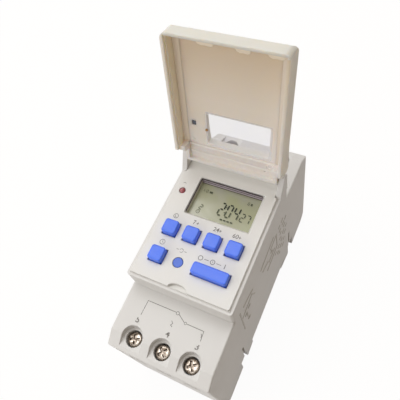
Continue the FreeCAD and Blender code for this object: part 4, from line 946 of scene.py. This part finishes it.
def plainly_seen(tree):
    """One where the white is seen straight, in a gloss or through clear stuff, nought where it would light a piece."""
    ray = add(tree, "ShaderNodeLightPath")
    seen = add(tree, "ShaderNodeMath", {"operation": "MAXIMUM"},
               {0: ray.outputs["Is Camera Ray"], 1: ray.outputs["Is Glossy Ray"]})
    seen = add(tree, "ShaderNodeMath", {"operation": "MAXIMUM"},
               {0: seen.outputs[0], 1: ray.outputs["Is Transmission Ray"]})
    direct = add(tree, "ShaderNodeMath", {"operation": "LESS_THAN", 1: 0.5}, {0: ray.outputs["Diffuse Depth"]})
    return add(tree, "ShaderNodeMath", {"operation": "MULTIPLY"}, {0: seen.outputs[0], 1: direct.outputs[0]})


white = bpy.data.materials.new("white_table")
white.use_nodes = True
tree = white.node_tree
tree.nodes.clear()
share = add(tree, "ShaderNodeMath", {"operation": "MULTIPLY", 1: 0.86}, {0: plainly_seen(tree).outputs[0]})
paint = add(tree, "ShaderNodeBsdfDiffuse", {"Color": linear("#A89D90")})
bright = add(tree, "ShaderNodeEmission", {"Color": (1, 1, 1, 1), "Strength": 1.11})
both = add(tree, "ShaderNodeMixShader", {}, {0: share.outputs[0], 1: paint.outputs[0], 2: bright.outputs[0]})
add(tree, "ShaderNodeOutputMaterial", {}, {"Surface": both.outputs[0]})
table.data.materials.append(white)

surround = bpy.data.worlds.new("surround")
surround.use_nodes = True
tree = surround.node_tree
tree.nodes.clear()
ambient = add(tree, "ShaderNodeBackground", {"Color": linear("#FFE8CB"), "Strength": 0.2})
backdrop = add(tree, "ShaderNodeBackground", {"Color": (1, 1, 1, 1), "Strength": 1.0})
both = add(tree, "ShaderNodeMixShader", {},
           {0: plainly_seen(tree).outputs[0], 1: ambient.outputs[0], 2: backdrop.outputs[0]})
add(tree, "ShaderNodeOutputWorld", {}, {"Surface": both.outputs[0]})
bpy.context.scene.world = surround

for name, place, size, power in (
    ("top_lamp", (-0.22, 0.12, 0.97), 0.8, 3.0), ("front_lamp", (-0.35, -0.9, 0.3), 1.0, 4.3),
    ("left_lamp", (-0.8, -0.2, 0.62), 1.0, 2.6), ("back_lamp", (-0.02, 0.62, 0.85), 1.0, 3.7),
):
    soft_lamp = bpy.data.lights.new(name, "AREA")
    soft_lamp.shape = "DISK"
    soft_lamp.size = size
    soft_lamp.energy = power
    soft_lamp.color = (0.975, 0.988, 1.0)
    lamp_stand = bpy.data.objects.new(name, soft_lamp)
    lamp_stand.location = place
    aim = Vector((0, 0, 0.05)) - lamp_stand.location
    lamp_stand.rotation_euler = aim.to_track_quat("-Z", "Y").to_euler()
    into_scene(lamp_stand)

camera = bpy.data.cameras.new("camera")
# The lens and the stand are the ones fitted to the photograph.
camera.sensor_width = 36
camera.lens = 39.63
camera.clip_start = 0.01
camera_stand = bpy.data.objects.new("camera", camera)
# Right, up and backward as the camera has them, and where it stands, in metres.
camera_stand.matrix_world = Matrix((
    (0.89206, -0.28800, 0.34827, 0.044108), (0.41690, 0.82188, -0.38820, -0.048495),
    (-0.17443, 0.49149, 0.85324, 0.182380), (0, 0, 0, 1),
))
into_scene(camera_stand)
bpy.context.scene.camera = camera_stand
bpy.context.scene.view_settings.view_transform = "Standard"
